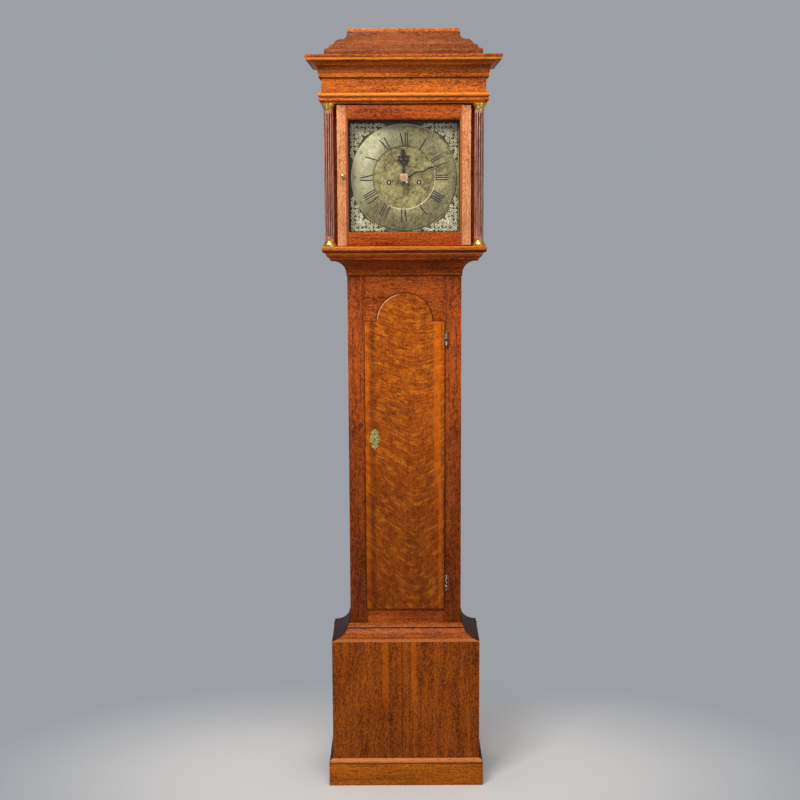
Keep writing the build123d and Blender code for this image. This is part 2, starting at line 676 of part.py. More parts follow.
def column_brasses():
    """Turned capital and base of each column: a flare, a ring and the neck on the wood."""
    wide, neck, tall = COLUMN_CAP_RADIUS, COLUMN_RADIUS + COLUMN_BRASS_WALL, COLUMN_CAP_HEIGHT
    profile = [(0, 0), (0, tall), (wide, tall), (wide, tall - 2.5), (wide - 2.5, tall - 6)]
    profile += [(neck + 1.2, tall - 10), (neck + 1.4, tall - 12), (neck, tall - 14), (neck, 0)]
    cap = turned(profile, COLUMN_X, COLUMN_Y, HOOD_TOP - tall)
    tall = COLUMN_BASE_HEIGHT
    profile = [(0, 0), (0, tall), (neck, tall), (neck, tall - 4), (neck + 1.2, tall - 6)]
    profile += [(neck + 0.4, tall - 8), (wide - 3.5, tall - 11), (wide - 1.5, tall - 14)]
    profile += [(wide, tall - 15), (wide, 0)]
    foot = turned(profile, COLUMN_X, COLUMN_Y, HOOD_FLOOR)
    return both_sides(cap) + both_sides(foot)


# Hood door


def hood_door_frame():
    half = HOOD_DOOR_HALF
    inner = half - HOOD_STILE
    front, back = HOOD_FRONT, HOOD_BODY_FRONT
    low, high = HOOD_DOOR_BOTTOM, HOOD_DOOR_TOP
    rebate = block(-inner - REBATE, inner + REBATE, back - 2 * REBATE, back + 1,
                   low + HOOD_BOTTOM_RAIL - REBATE, high - HOOD_TOP_RAIL + REBATE)
    stile = block(inner, half, front, back, low, high)
    top_rail = block(-inner, inner, front, back, high - HOOD_TOP_RAIL, high)
    low_rail = block(-inner, inner, front, back, low, low + HOOD_BOTTOM_RAIL)
    left, right = both_sides(stile)[1], stile
    for plate in pivot_plates():
        right -= plate
    return [left - rebate, right - rebate, top_rail - rebate, low_rail - rebate]


def hood_door_glass():
    inner = HOOD_DOOR_HALF - HOOD_STILE + REBATE - GLASS_CLEARANCE
    back = HOOD_BODY_FRONT - 2 * REBATE + GLASS_THICKNESS
    low = HOOD_DOOR_BOTTOM + HOOD_BOTTOM_RAIL - REBATE + GLASS_CLEARANCE
    high = HOOD_DOOR_TOP - HOOD_TOP_RAIL + REBATE - GLASS_CLEARANCE
    return block(-inner, inner, back - GLASS_THICKNESS, back, low, high)


def hood_door_knob():
    x = -HOOD_DOOR_HALF + HOOD_STILE / 2
    middle = HOOD_FRONT - KNOB_LENGTH + KNOB_RADIUS
    neck = bar_y((x, DIAL_HEIGHT + 5), middle, HOOD_FRONT, KNOB_RADIUS / 2)
    return neck + Pos(x, middle, DIAL_HEIGHT + 5) * Sphere(KNOB_RADIUS)


def pivot_plates():
    wide, deep, thick = PIVOT_PLATE
    x1 = HOOD_DOOR_HALF
    plates = []
    for z0 in (HOOD_DOOR_BOTTOM, HOOD_DOOR_TOP - thick):
        plates.append(block(x1 - wide, x1, HOOD_FRONT, HOOD_FRONT + deep, z0, z0 + thick))
    return plates


def hood_door_pivots():
    low, high = pivot_plates()
    start = HOOD_FLOOR - PIVOT_LENGTH + END_SHAKE
    low += bar_z(PIVOT_X, PIVOT_Y, start, HOOD_DOOR_BOTTOM + 1, PIVOT_RADIUS)
    high += bar_z(PIVOT_X, PIVOT_Y, HOOD_DOOR_TOP - 1, HOOD_TOP + PIVOT_LENGTH - END_SHAKE, PIVOT_RADIUS)
    return [low, high]


# Dial and hands


def on_dial(place):
    """Move a place from the middle of the dial to the clock's own x and z."""
    return place[0], place[1] + DIAL_HEIGHT


def dial_plate():
    half = DIAL_SIZE / 2
    back = DIAL_FRONT + DIAL_THICKNESS
    plate = block(-half, half, DIAL_FRONT, back, DIAL_HEIGHT - half, DIAL_HEIGHT + half)
    plate -= bar_y(on_dial(CENTRE_ARBOR), DIAL_FRONT - 1, back + 1, DIAL_CENTRE_HOLE)
    for place in (GOING_ARBOR, STRIKE_ARBOR):
        plate -= bar_y(on_dial(place), DIAL_FRONT - 1, back + 1, WINDING_HOLE)
    for x in (-FOOT_OFFSET, FOOT_OFFSET):
        for z in (-FOOT_OFFSET, FOOT_OFFSET):
            plate += bar_y(on_dial((x, z)), back, FRONT_PLATE, FOOT_RADIUS)
    return plate


def chapter_ring():
    ring = bar_y(on_dial(CENTRE_ARBOR), DIAL_FRONT - RING_THICKNESS, DIAL_FRONT, RING_OUTER)
    return ring - bar_y(on_dial(CENTRE_ARBOR), DIAL_FRONT - 3, DIAL_FRONT + 1, RING_INNER)


def spandrels():
    """Cast corner piece outside the chapter ring, four times."""
    far = DIAL_SIZE / 2 - SPANDREL_MARGIN
    near = far - SPANDREL_SIZE
    front = DIAL_FRONT - SPANDREL_THICKNESS
    corner = block(near, far, front, DIAL_FRONT, DIAL_HEIGHT + near, DIAL_HEIGHT + far)
    corner -= bar_y(on_dial(CENTRE_ARBOR), front - 1, DIAL_FRONT + 1, RING_OUTER + SPANDREL_RING_GAP)
    lower = mirror(corner, about=Plane(origin=(0, 0, DIAL_HEIGHT), z_dir=(0, 0, 1)))
    return both_sides(corner) + both_sides(lower)


def pointer(length, tail, width, boss, waist):
    """Outline of a hand that points up from its boss, with a pierced head left to the finish."""
    head = 0.62 * length
    right = [(width / 2, boss), (width / 2, head - waist), (waist, head), (width / 2, head + waist)]
    right += [(0.4, length)]
    left = [(-x, z) for x, z in reversed(right)]
    return outline(right + left + [(-width / 2, -tail), (width / 2, -tail)]) + Circle(boss)


def hand(face, angle, front, bore):
    """Lay a hand at its angle clockwise from twelve, with its bore."""
    plate = slab_y(Pos(0, DIAL_HEIGHT) * Rot(0, 0, -angle) * face, front, front + HAND_THICKNESS)
    return plate - bar_y(on_dial(CENTRE_ARBOR), front - 1, front + 2, bore)


HOUR_HAND_FRONT = DIAL_FRONT - RING_THICKNESS - HOUR_HAND_STANDOFF - HAND_THICKNESS
MINUTE_HAND_FRONT = HOUR_HAND_FRONT - HAND_SPACING


def hour_hand():
    face = pointer(HOUR_HAND_LENGTH, 4, 4, 8, 9)
    return hand(face, HOUR_HAND_ANGLE, HOUR_HAND_FRONT, HOUR_PIPE_RADIUS - 1 + RUNNING_FIT)


def minute_hand():
    face = pointer(MINUTE_HAND_LENGTH, 6, 3.4, 7, 5)
    return hand(face, MINUTE_HAND_ANGLE, MINUTE_HAND_FRONT, SQUARE_SIZE / 4 + RUNNING_FIT)


def hand_collet():
    """Square collet that holds the minute hand, with its pin through the arbor."""
    half = COLLET_SIZE / 2
    back = MINUTE_HAND_FRONT
    face = Rot(0, 0, 12) * Rectangle(COLLET_SIZE, COLLET_SIZE)
    square = slab_y(Pos(0, DIAL_HEIGHT) * face, back - 2, back)
    square -= bar_y(on_dial(CENTRE_ARBOR), back - 4, back + 1, SQUARE_SIZE / 4 + RUNNING_FIT)
    return square & block(-half, half, back - 2, back, DIAL_HEIGHT - half, DIAL_HEIGHT + half)


# Wheels


def gear_face(teeth, module, share, phase, rise=0.7):
    """Toothed disc with straight flanks. The share is the tooth's part of the pitch."""
    pitch = 2 * math.pi / teeth
    root = module * (teeth / 2 - 1.15)
    tip = module * (teeth / 2 + rise)
    points = []
    for number in range(teeth):
        middle = math.radians(phase) + number * pitch
        for radius, width in ((root, -0.62), (tip, -0.27), (tip, 0.27), (root, 0.62)):
            turn = middle + width * share * pitch
            points.append((radius * math.cos(turn), radius * math.sin(turn)))
    return make_face(Polyline(*points, close=True))


def crossed(face, rim, hub, arm):
    """Cut four windows that leave the rim, the hub and four arms."""
    windows = Circle(rim) - Circle(hub)
    windows -= Rectangle(2 * rim, arm)
    windows -= Rectangle(arm, 2 * rim)
    return face - windows


def wheel(place, teeth, module, toward, level, rim_width=2.2):
    """Crossed-out wheel with a tooth pointing toward its pinion's arbor."""
    face = gear_face(teeth, module, 0.48, direction(place, toward))
    rim = module * (teeth / 2 - 1.15) - rim_width
    face = crossed(face, rim, 4.5, 2.4)
    x, z = on_dial(place)
    y0 = INSIDE_PLATE + level
    return slab_y(Pos(x, z) * face, y0, y0 + WHEEL_THICKNESS)


def pinion(place, leaves, module, toward, level, length):
    """Pinion with a gap facing the wheel that drives it."""
    face = gear_face(leaves, module, 0.36, direction(place, toward) + 180 / leaves, 0.6)
    x, z = on_dial(place)
    y0 = INSIDE_PLATE + level
    return slab_y(Pos(x, z) * face, y0, y0 + length)


def arbor(place, radius=ARBOR_RADIUS):
    """Arbor between the plates with a pivot in each plate."""
    shape = bar_y(on_dial(place), INSIDE_PLATE + END_SHAKE, REAR_PLATE - END_SHAKE, radius)
    return shape + bar_y(on_dial(place), FRONT_PLATE, COCK_FACE, PIVOT_PIN)


def great_wheel(place, teeth, module, toward):
    face = crossed(gear_face(teeth, module, 0.48, direction(place, toward)), 30, 13, 5)
    x, z = on_dial(place)
    y0 = INSIDE_PLATE + GREAT_LEVEL
    disc = slab_y(Pos(x, z) * face, y0, y0 + 2.5)
    return disc - bar_y((x, z), y0 - 1, y0 + 4, BARREL_ARBOR + RUNNING_FIT)


def going_great_wheel():
    return great_wheel(GOING_ARBOR, GOING_GREAT_TEETH[0], GOING_MODULE, CENTRE_ARBOR)


def strike_great_wheel():
    return great_wheel(STRIKE_ARBOR, STRIKE_GREAT_TEETH[0], STRIKE_GREAT_MODULE, PIN_ARBOR)


def barrel(place):
    """Barrel with end rims and an arbor that ends in the winding square."""
    x, z = on_dial(place)
    y0 = INSIDE_PLATE + BARREL_LEVEL
    y1 = y0 + BARREL_LENGTH
    drum = bar_y((x, z), y0, y1, BARREL_RADIUS)
    drum += bar_y((x, z), INSIDE_PLATE + END_SHAKE, REAR_PLATE - END_SHAKE, BARREL_ARBOR)
    front = DIAL_FRONT - SQUARE_PROUD
    drum += bar_y((x, z), FRONT_PLATE - 2, INSIDE_PLATE + 1, BARREL_ARBOR - 1)
    drum += bar_y((x, z), REAR_PLATE - 1, COCK_FACE, PIVOT_PIN + 1)
    half = SQUARE_SIZE / 2
    return drum + block(x - half, x + half, front, FRONT_PLATE - 2, z - half, z + half)


def going_barrel():
    return barrel(GOING_ARBOR)


def strike_barrel():
    return barrel(STRIKE_ARBOR)


def centre_wheel():
    """Centre wheel, its pinion and arbor, with the cannon that turns the motion work."""
    shape = arbor(CENTRE_ARBOR)
    shape += wheel(CENTRE_ARBOR, CENTRE_TEETH[0], CENTRE_MODULE, THIRD_ARBOR, CENTRE_LEVEL)
    shape += pinion(CENTRE_ARBOR, GOING_GREAT_TEETH[1], GOING_MODULE, GOING_ARBOR, GREAT_LEVEL - 1, 5)
    middle = on_dial(CENTRE_ARBOR)
    shape += bar_y(middle, MINUTE_HAND_FRONT + HAND_THICKNESS, FRONT_PLATE - 1, CANNON_RADIUS)
    shape += bar_y(middle, MINUTE_HAND_FRONT - 2, FRONT_PLATE, SQUARE_SIZE / 4)
    face = gear_face(MOTION_TEETH, MOTION_MODULE, 0.44, direction(CENTRE_ARBOR, MINUTE_ARBOR))
    y1 = FRONT_PLATE - MOTION_LEVEL
    return shape + slab_y(Pos(*middle) * face, y1 - WHEEL_THICKNESS, y1)


def minute_wheel():
    """Minute wheel and its pinion, loose on a stud of the front plate."""
    x, z = on_dial(MINUTE_ARBOR)
    upward = direction(MINUTE_ARBOR, CENTRE_ARBOR)
    y1 = FRONT_PLATE - MOTION_LEVEL
    face = gear_face(MOTION_TEETH, MOTION_MODULE, 0.44, upward + 180 / MOTION_TEETH)
    shape = slab_y(Pos(x, z) * face, y1 - WHEEL_THICKNESS, y1)
    shape += bar_y((x, z), FRONT_PLATE - HOUR_LEVEL + 1, y1, 2.4)
    leaf = gear_face(HOUR_TEETH[1], HOUR_MODULE, 0.36, upward + 180 / HOUR_TEETH[1], 0.6)
    y1 = FRONT_PLATE - HOUR_LEVEL + 1
    shape += slab_y(Pos(x, z) * leaf, y1 - 4, y1)
    return shape - bar_y((x, z), FRONT_PLATE - 30, FRONT_PLATE, STUD_RADIUS + RUNNING_FIT)


def hour_wheel():
    """Hour wheel with its pipe through the dial and the snail behind it."""
    middle = on_dial(CENTRE_ARBOR)
    face = gear_face(HOUR_TEETH[0], HOUR_MODULE, 0.48, direction(CENTRE_ARBOR, MINUTE_ARBOR))
    y1 = FRONT_PLATE - HOUR_LEVEL
    shape = slab_y(Pos(*middle) * face, y1 - WHEEL_THICKNESS, y1)
    shape += bar_y(middle, HOUR_HAND_FRONT + HAND_THICKNESS, y1, HOUR_PIPE_RADIUS)
    shape += bar_y(middle, HOUR_HAND_FRONT, y1, HOUR_PIPE_RADIUS - 1)
    points = []
    for step in range(12):
        radius = 22 - step * 0.9
        for turn in (step * 30, step * 30 + 30):
            points.append(at_angle((0, 0), radius, turn))
    snail = make_face(Polyline(*points, close=True))
    shape += slab_y(Pos(*middle) * snail, y1 - WHEEL_THICKNESS - 4, y1 - WHEEL_THICKNESS - 2.5)
    return shape - bar_y(middle, HOUR_HAND_FRONT - 1, FRONT_PLATE, CANNON_RADIUS + RUNNING_FIT)


def third_wheel():
    shape = arbor(THIRD_ARBOR)
    shape += wheel(THIRD_ARBOR, THIRD_TEETH[0], THIRD_MODULE, ESCAPE_ARBOR, THIRD_LEVEL)
    return shape + pinion(THIRD_ARBOR, CENTRE_TEETH[1], CENTRE_MODULE, CENTRE_ARBOR, CENTRE_LEVEL - 1.5, 5)


def escape_wheel():
    pitch = 360 / ESCAPE_TEETH
    points = []
    for number in range(ESCAPE_TEETH):
        turn = 90 + (number + 0.5) * pitch
        points.append(at_angle((0, 0), ESCAPE_RADIUS, turn))
        points.append(at_angle((0, 0), ESCAPE_RADIUS, turn + 0.08 * pitch))
        points.append(at_angle((0, 0), ESCAPE_RADIUS - 4, turn + 0.45 * pitch))
        points.append(at_angle((0, 0), ESCAPE_RADIUS - 4, turn + 0.85 * pitch))
    face = crossed(make_face(Polyline(*points, close=True)), ESCAPE_RADIUS - 5.5, 4.5, 2)
    y0 = INSIDE_PLATE + ESCAPE_LEVEL
    shape = arbor(ESCAPE_ARBOR) + slab_y(Pos(*on_dial(ESCAPE_ARBOR)) * face, y0, y0 + 1.6)
    return shape + pinion(ESCAPE_ARBOR, THIRD_TEETH[1], THIRD_MODULE, THIRD_ARBOR, THIRD_LEVEL - 1.5, 5)


def anchor():
    """Anchor with its arbor, and the crutch behind the rear plate that forks round the rod."""
    x, z = on_dial(ANCHOR_ARBOR)
    centre = on_dial(ESCAPE_ARBOR)
    inner = ESCAPE_RADIUS + PALLET_CLEARANCE
    outer = z - centre[1] + 4
    band = Circle(outer) - Circle(inner)
    reach = 2 * outer
    band &= outline([(0, 0), (reach, reach * 0.9), (-reach, reach * 0.9)])
    y0 = INSIDE_PLATE + ESCAPE_LEVEL - 0.5
    shape = slab_y(Pos(*centre) * band, y0, y0 + 2.6)
    shape += bar_y((x, z), INSIDE_PLATE + END_SHAKE, COCK_FACE + 8, ARBOR_RADIUS)
    shape += bar_y((x, z), FRONT_PLATE, COCK_FACE + 12, PIVOT_PIN)
    low = z - CRUTCH_LENGTH
    shape += block(-1.5, 1.5, COCK_FACE + 4, COCK_FACE + 7, low, z)
    fork = ROD_RADIUS + FORK_CLEARANCE
    shape += block(-fork - 2, fork + 2, COCK_FACE + 4, COCK_FACE + 7, low - 4, low + 2)
    for side in (-1, 1):
        edges = sorted((side * fork, side * (fork + 2)))
        shape += block(*edges, COCK_FACE + 4, PENDULUM_Y + 4, low - 4, low + 2)
    return shape


def pin_wheel():
    shape = arbor(PIN_ARBOR)
    shape += wheel(PIN_ARBOR, PIN_WHEEL_TEETH[0], PIN_MODULE, GATHERING_ARBOR, CENTRE_LEVEL - 2, 6)
    shape += pinion(PIN_ARBOR, STRIKE_GREAT_TEETH[1], STRIKE_GREAT_MODULE, STRIKE_ARBOR, GREAT_LEVEL - 1, 5)
    y0 = INSIDE_PLATE + CENTRE_LEVEL - 2 + WHEEL_THICKNESS
    for number in range(LIFTING_PINS):
        place = at_angle(on_dial(PIN_ARBOR), LIFTING_PIN_CIRCLE, 360 / LIFTING_PINS * number)
        shape += bar_y(place, y0 - 1, y0 + 5, LIFTING_PIN_RADIUS)
    return shape


def gathering_wheel():
    shape = arbor(GATHERING_ARBOR)
    shape += wheel(GATHERING_ARBOR, GATHERING_TEETH[0], GATHERING_MODULE, WARNING_ARBOR, THIRD_LEVEL)
    return shape + pinion(GATHERING_ARBOR, PIN_WHEEL_TEETH[1], PIN_MODULE, PIN_ARBOR, CENTRE_LEVEL - 3.5, 5)


def warning_wheel():
    shape = arbor(WARNING_ARBOR)
    shape += wheel(WARNING_ARBOR, WARNING_TEETH[0], WARNING_MODULE, FLY_ARBOR, WARNING_LEVEL)
    leaves = GATHERING_TEETH[1]
    return shape + pinion(WARNING_ARBOR, leaves, GATHERING_MODULE, GATHERING_ARBOR, THIRD_LEVEL - 1.5, 5)


def fly():
    shape = arbor(FLY_ARBOR)
    x, z = on_dial(FLY_ARBOR)
    y0, y1 = INSIDE_PLATE + FLY_LEVEL[0], INSIDE_PLATE + FLY_LEVEL[1]
    shape += block(x - FLY_RADIUS, x + FLY_RADIUS, y0, y1, z - 0.5, z + 0.5)
    leaves = WARNING_TEETH[1]
    return shape + pinion(FLY_ARBOR, leaves, WARNING_MODULE, WARNING_ARBOR, WARNING_LEVEL - 1.5, 5)


def hammer():
    """Hammer arbor with its tail by the lifting pins and the head beside the bell."""
    x, z = on_dial(HAMMER_PLACE)
    shape = arbor(HAMMER_PLACE)
    y0 = INSIDE_PLATE + CENTRE_LEVEL + 1
    tail = [(x - 2, z), (x + 2, z + 1), (x + 16, z - 29), (x + 13, z - 31)]
    shape += slab_y(outline(tail), y0, y0 + 4)
    head_z = DIAL_HEIGHT + HAMMER_HEAD_HEIGHT
    shape += block(x - 1.5, x + 1.5, BELL_Y - 2, BELL_Y + 2, z, head_z)
    start = x - 1.5
    length = -BELL_RADIUS - HAMMER_GAP + 1 - start
    head = Pos(start + length / 2, BELL_Y, head_z) * Rot(0, 90, 0) * Cylinder(HAMMER_HEAD_RADIUS, length)
    return shape + head


def movement_frame():
    """Two plates, five pillars and the back cock that carries the pendulum."""
    half = PLATE_WIDTH / 2
    low, high = DIAL_HEIGHT - PLATE_BELOW, DIAL_HEIGHT + PLATE_ABOVE
    front = block(-half, half, FRONT_PLATE, INSIDE_PLATE, low, high)
    rear = block(-half, half, REAR_PLATE, COCK_FACE, low, high)
    turning = (THIRD_ARBOR, ESCAPE_ARBOR, PIN_ARBOR, GATHERING_ARBOR, WARNING_ARBOR, FLY_ARBOR,
               HAMMER_PLACE)
    for place in turning:
        front -= bar_y(on_dial(place), FRONT_PLATE - 1, INSIDE_PLATE + 1, PIVOT_PIN + RUNNING_FIT)
        rear -= bar_y(on_dial(place), REAR_PLATE - 1, COCK_FACE + 1, PIVOT_PIN + RUNNING_FIT)
    front -= bar_y(on_dial(ANCHOR_ARBOR), FRONT_PLATE - 1, INSIDE_PLATE + 1, PIVOT_PIN + RUNNING_FIT)
    rear -= bar_y(on_dial(ANCHOR_ARBOR), REAR_PLATE - 1, COCK_FACE + 1, ARBOR_RADIUS + 2)
    middle = on_dial(CENTRE_ARBOR)
    front -= bar_y(middle, FRONT_PLATE - 1, INSIDE_PLATE + 1, SQUARE_SIZE / 4 + RUNNING_FIT)
    rear -= bar_y(middle, REAR_PLATE - 1, COCK_FACE + 1, PIVOT_PIN + RUNNING_FIT)
    for place in (GOING_ARBOR, STRIKE_ARBOR):
        front -= bar_y(on_dial(place), FRONT_PLATE - 1, INSIDE_PLATE + 1, BARREL_ARBOR - 1 + RUNNING_FIT)
        rear -= bar_y(on_dial(place), REAR_PLATE - 1, COCK_FACE + 1, PIVOT_PIN + 1 + RUNNING_FIT)
    front += bar_y(on_dial(MINUTE_ARBOR), FRONT_PLATE - HOUR_LEVEL - 4, FRONT_PLATE, STUD_RADIUS)
    pillars = []
    side, foot, head = half - PILLAR_INSET, low + PILLAR_INSET, high - PILLAR_INSET
    for x, z in ((-side, foot), (side, foot), (side, head), (side, DIAL_HEIGHT + 30), (0, foot)):
        pillars.append(bar_y((x, z), INSIDE_PLATE, REAR_PLATE, PILLAR_RADIUS))
    return [front, rear, back_cock()] + pillars


def back_cock():
    z = PENDULUM_Z
    back = PENDULUM_Y + 6
    cock = block(-30, 30, COCK_FACE, back, z + 10, z + 18)
    cock += block(-6, 6, COCK_FACE + 9, COCK_FACE + 12, z - 6, z + 18)
    slot = SPRING_HALF + SMALL_GAP
    for side in (-1, 1):
        edges = sorted((side * slot, side * 6))
        cock += block(*edges, COCK_FACE + 12, back, z - 4, z + 18)
    return cock - bar_y((0, z), COCK_FACE + 8, COCK_FACE + 13, PIVOT_PIN + RUNNING_FIT)


def bell():
    """Bell, mouth down, under the arm of its stand."""
    mouth = DIAL_HEIGHT + PLATE_ABOVE + BELL_ABOVE
    tall, wide, wall = BELL_HEIGHT, BELL_RADIUS, BELL_WALL
    outer = turned([(0, 0), (0, tall), (wide - 3, 8, 15), (wide, 0)], 0, BELL_Y, mouth)
    hollow = [(0, -1), (0, tall - wall), (wide - 3 - wall, 8 - 1, 15), (wide - wall, -1)]
    shell = outer - turned(hollow, 0, BELL_Y, mouth)
    top = mouth + tall
    arm = top + BELL_ARM_GAP
    arm_top = arm + BELL_ARM_HEIGHT
    half = BELL_STAND_WIDTH / 2
    left, right = BELL_STAND_X - half, BELL_STAND_X + half
    back = COCK_FACE + PLATE_THICKNESS
    stand = block(left, right, COCK_FACE, back, DIAL_HEIGHT + BELL_STAND_RISE, arm_top)
    stand += block(left, right, BELL_Y - half, back, arm, arm_top)
    stand += block(-half, right, BELL_Y - half, BELL_Y + half, arm, arm_top)
    stand += bar_z(0, BELL_Y, top, arm, PULLEY_PIN)
    return [shell, stand]


# Pendulum, weights and lines


def pendulum_rod():
    """Rod with its suspension spring above and the rating nut below the bob."""
    low = PENDULUM_Z - PENDULUM_LENGTH - PENDULUM_TAIL
    rod = bar_z(0, PENDULUM_Y, low, PENDULUM_Z - SPRING_LENGTH, ROD_RADIUS)
    spring = block(-SPRING_HALF, SPRING_HALF, PENDULUM_Y - 2.9, PENDULUM_Y + 3,
                   PENDULUM_Z - SPRING_LENGTH, PENDULUM_Z + 8)
    nut_top = PENDULUM_Z - PENDULUM_LENGTH - BOB_RADIUS
    nut = bar_z(0, PENDULUM_Y, nut_top - 8, nut_top, NUT_RADIUS)
    nut -= bar_z(0, PENDULUM_Y, low, nut_top, ROD_RADIUS)
    return [rod, spring, nut]


def pendulum_bob():
    """Lens-shaped bob, bored for the rod."""
    z = PENDULUM_Z - PENDULUM_LENGTH
    half = BOB_THICKNESS / 2
    profile = [(0, -half), (BOB_RADIUS, -2, -3), (BOB_RADIUS, 2), (0, half, -3)]
    lens = revolve(Plane.XZ * outline(profile), Axis.Z)
    bob = Pos(0, PENDULUM_Y, z) * Rot(90, 0, 0) * lens
    return bob - bar_z(0, PENDULUM_Y, z - BOB_RADIUS - 1, z + BOB_RADIUS + 1, ROD_RADIUS + RUNNING_FIT)


def weight(side):
    """Iron weight on its hook, with the stirrup and pin that carry the pulley."""
    x = side * PULLEY_X
    top = WEIGHT_FLOOR_GAP + WEIGHT_LENGTH
    body = bar_z(x, WEIGHT_Y, WEIGHT_FLOOR_GAP, top, WEIGHT_RADIUS)
    body = fillet(body.edges(), 5) + bar_z(x, WEIGHT_Y, top, top + HOOK_LENGTH, 2.5)
    wide = 7
    gap = PULLEY_WIDTH / 2 + SMALL_GAP
    bridge = PULLEY_Z - STIRRUP_DROP
    stirrup = block(x - wide, x + wide, WEIGHT_Y - gap - STIRRUP_WALL, WEIGHT_Y + gap + STIRRUP_WALL,
                    bridge, bridge + 4)
    for y0 in (WEIGHT_Y - gap - STIRRUP_WALL, WEIGHT_Y + gap):
        stirrup += block(x - wide, x + wide, y0, y0 + STIRRUP_WALL, bridge, PULLEY_Z + 7)
    y0, y1 = WEIGHT_Y - gap - STIRRUP_WALL, WEIGHT_Y + gap + STIRRUP_WALL
    return [body, stirrup + bar_y((x, PULLEY_Z), y0, y1, PULLEY_PIN)]


def pulley(side):
    """Grooved line pulley, loose on its pin."""
    place = (side * PULLEY_X, PULLEY_Z)
    half = PULLEY_WIDTH / 2
    groove = LINE_RADIUS * 2
    shape = bar_y(place, WEIGHT_Y - half, WEIGHT_Y + half, PULLEY_RADIUS - RUNNING_FIT * 4)
    for y0, y1 in ((-half, -groove), (groove, half)):
        shape += bar_y(place, WEIGHT_Y + y0, WEIGHT_Y + y1, PULLEY_FLANGE)
    return shape - bar_y(place, WEIGHT_Y - half - 1, WEIGHT_Y + half + 1, PULLEY_PIN + RUNNING_FIT)


def line(side):
    """Two parts of the gut line between the seatboard and the pulley."""
    strands = []
    for x in (LINE_OUTER + RUNNING_FIT, LINE_INNER - RUNNING_FIT):
        strands.append(bar_z(side * x, WEIGHT_Y, PULLEY_Z, SEATBOARD_BOTTOM, LINE_RADIUS))
    return strands


MAKERS = [
    backboard, trunk_sides, trunk_face_frame, throat_mouldings, base_front_boards, base_sides,
    base_mouldings, plinth_boards, seatboard, line_leads, trunk_hinge_plates, movement_frame,
    dial_plate, chapter_ring, spandrels, bell, trunk_door, trunk_door_hinge_leaves,
    trunk_door_escutcheon, trunk_door_lock, hood_sides, hood_frieze, hood_architrave, hood_cornice,
    hood_roof_boards, caddy_mouldings, hood_base_mouldings, dial_mask, hood_columns, column_brasses,
    hood_door_frame, hood_door_glass, hood_door_knob, hood_door_pivots, minute_hand, hand_collet,
    centre_wheel, hour_hand, hour_wheel, minute_wheel, going_great_wheel, going_barrel, third_wheel,
    escape_wheel, anchor, pendulum_rod, pendulum_bob, strike_great_wheel, strike_barrel, pin_wheel,
    gathering_wheel, warning_wheel, fly, hammer,
]

os.makedirs("parts", exist_ok=True)
for make in MAKERS:
    save(make.__name__, make())
for name, side in (("going", 1), ("strike", -1)):
    save(f"{name}_weight", weight(side))
    save(f"{name}_pulley", pulley(side))
    save(f"{name}_line", line(side))
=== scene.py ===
import math
import random

import bmesh
import bpy
from mathutils import Matrix, Vector


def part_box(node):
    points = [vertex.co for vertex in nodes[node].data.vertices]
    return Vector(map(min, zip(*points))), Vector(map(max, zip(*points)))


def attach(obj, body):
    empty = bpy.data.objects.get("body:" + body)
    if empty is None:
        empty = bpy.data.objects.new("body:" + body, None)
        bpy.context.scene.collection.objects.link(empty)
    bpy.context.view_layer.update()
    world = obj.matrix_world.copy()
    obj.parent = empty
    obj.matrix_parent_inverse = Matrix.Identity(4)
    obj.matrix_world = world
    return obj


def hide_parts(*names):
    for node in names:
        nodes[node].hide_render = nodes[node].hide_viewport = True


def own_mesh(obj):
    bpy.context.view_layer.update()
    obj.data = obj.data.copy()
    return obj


# Longcase clock in oak: the finish of its case, dial, hands and brasses.
# Lengths are in metres, and MM turns millimetres into them. The front looks towards -Y.

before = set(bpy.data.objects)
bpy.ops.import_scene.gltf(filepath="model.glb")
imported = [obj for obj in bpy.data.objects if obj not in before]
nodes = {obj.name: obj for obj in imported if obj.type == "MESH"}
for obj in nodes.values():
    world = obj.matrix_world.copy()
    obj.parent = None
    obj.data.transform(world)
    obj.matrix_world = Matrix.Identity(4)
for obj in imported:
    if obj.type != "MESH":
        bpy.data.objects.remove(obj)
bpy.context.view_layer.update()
MM = 0.001
FULL_TURN = 2 * math.pi
random.seed(12)


def low_high(node):
    """Lowest and highest corner of a construction node."""
    low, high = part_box(node)
    return Vector(low), Vector(high)


def added(name, data):
    """New object in the scene."""
    made = bpy.data.objects.new(name, data)
    bpy.context.collection.objects.link(made)
    return made


def meshed(name, solid):
    """Mesh of a bmesh, which is freed."""
    mesh = bpy.data.meshes.new(name)
    solid.to_mesh(mesh)
    solid.free()
    return mesh


# Faces and levels, read from the frame

FACE_LOW, FACE_HIGH = low_high("trunk_face_frame")
TRUNK_HALF = FACE_HIGH.x
TRUNK_FRONT = FACE_LOW.y
FRAME_BACK = FACE_HIGH.y
BASE_TOP = FACE_LOW.z
TRUNK_TOP = FACE_HIGH.z
BACK = low_high("backboard")[1].y
BACK_INSIDE = low_high("backboard")[0].y
BASE_LOW, BASE_HIGH = low_high("base_front_boards")
BASE_HALF = BASE_HIGH.x
BASE_FRONT = BASE_LOW.y
DOOR_LOW, DOOR_HIGH = low_high("trunk_door")
DIAL_LOW, DIAL_HIGH = low_high("dial_plate")
DIAL_MIDDLE = (DIAL_LOW.z + DIAL_HIGH.z) / 2
DIAL_FRONT = DIAL_LOW.y
DIAL_HALF = DIAL_HIGH.x
RING_LOW, RING_HIGH = low_high("chapter_ring")
RING_OUTER = RING_HIGH.x
RING_FRONT = RING_LOW.y
HOOD_LOW, HOOD_HIGH = low_high("hood_sides")
HOOD_OUTER = HOOD_HIGH.x
HOOD_FLOOR = HOOD_LOW.z
FRAME_LOW, FRAME_HIGH = low_high("hood_door_frame")
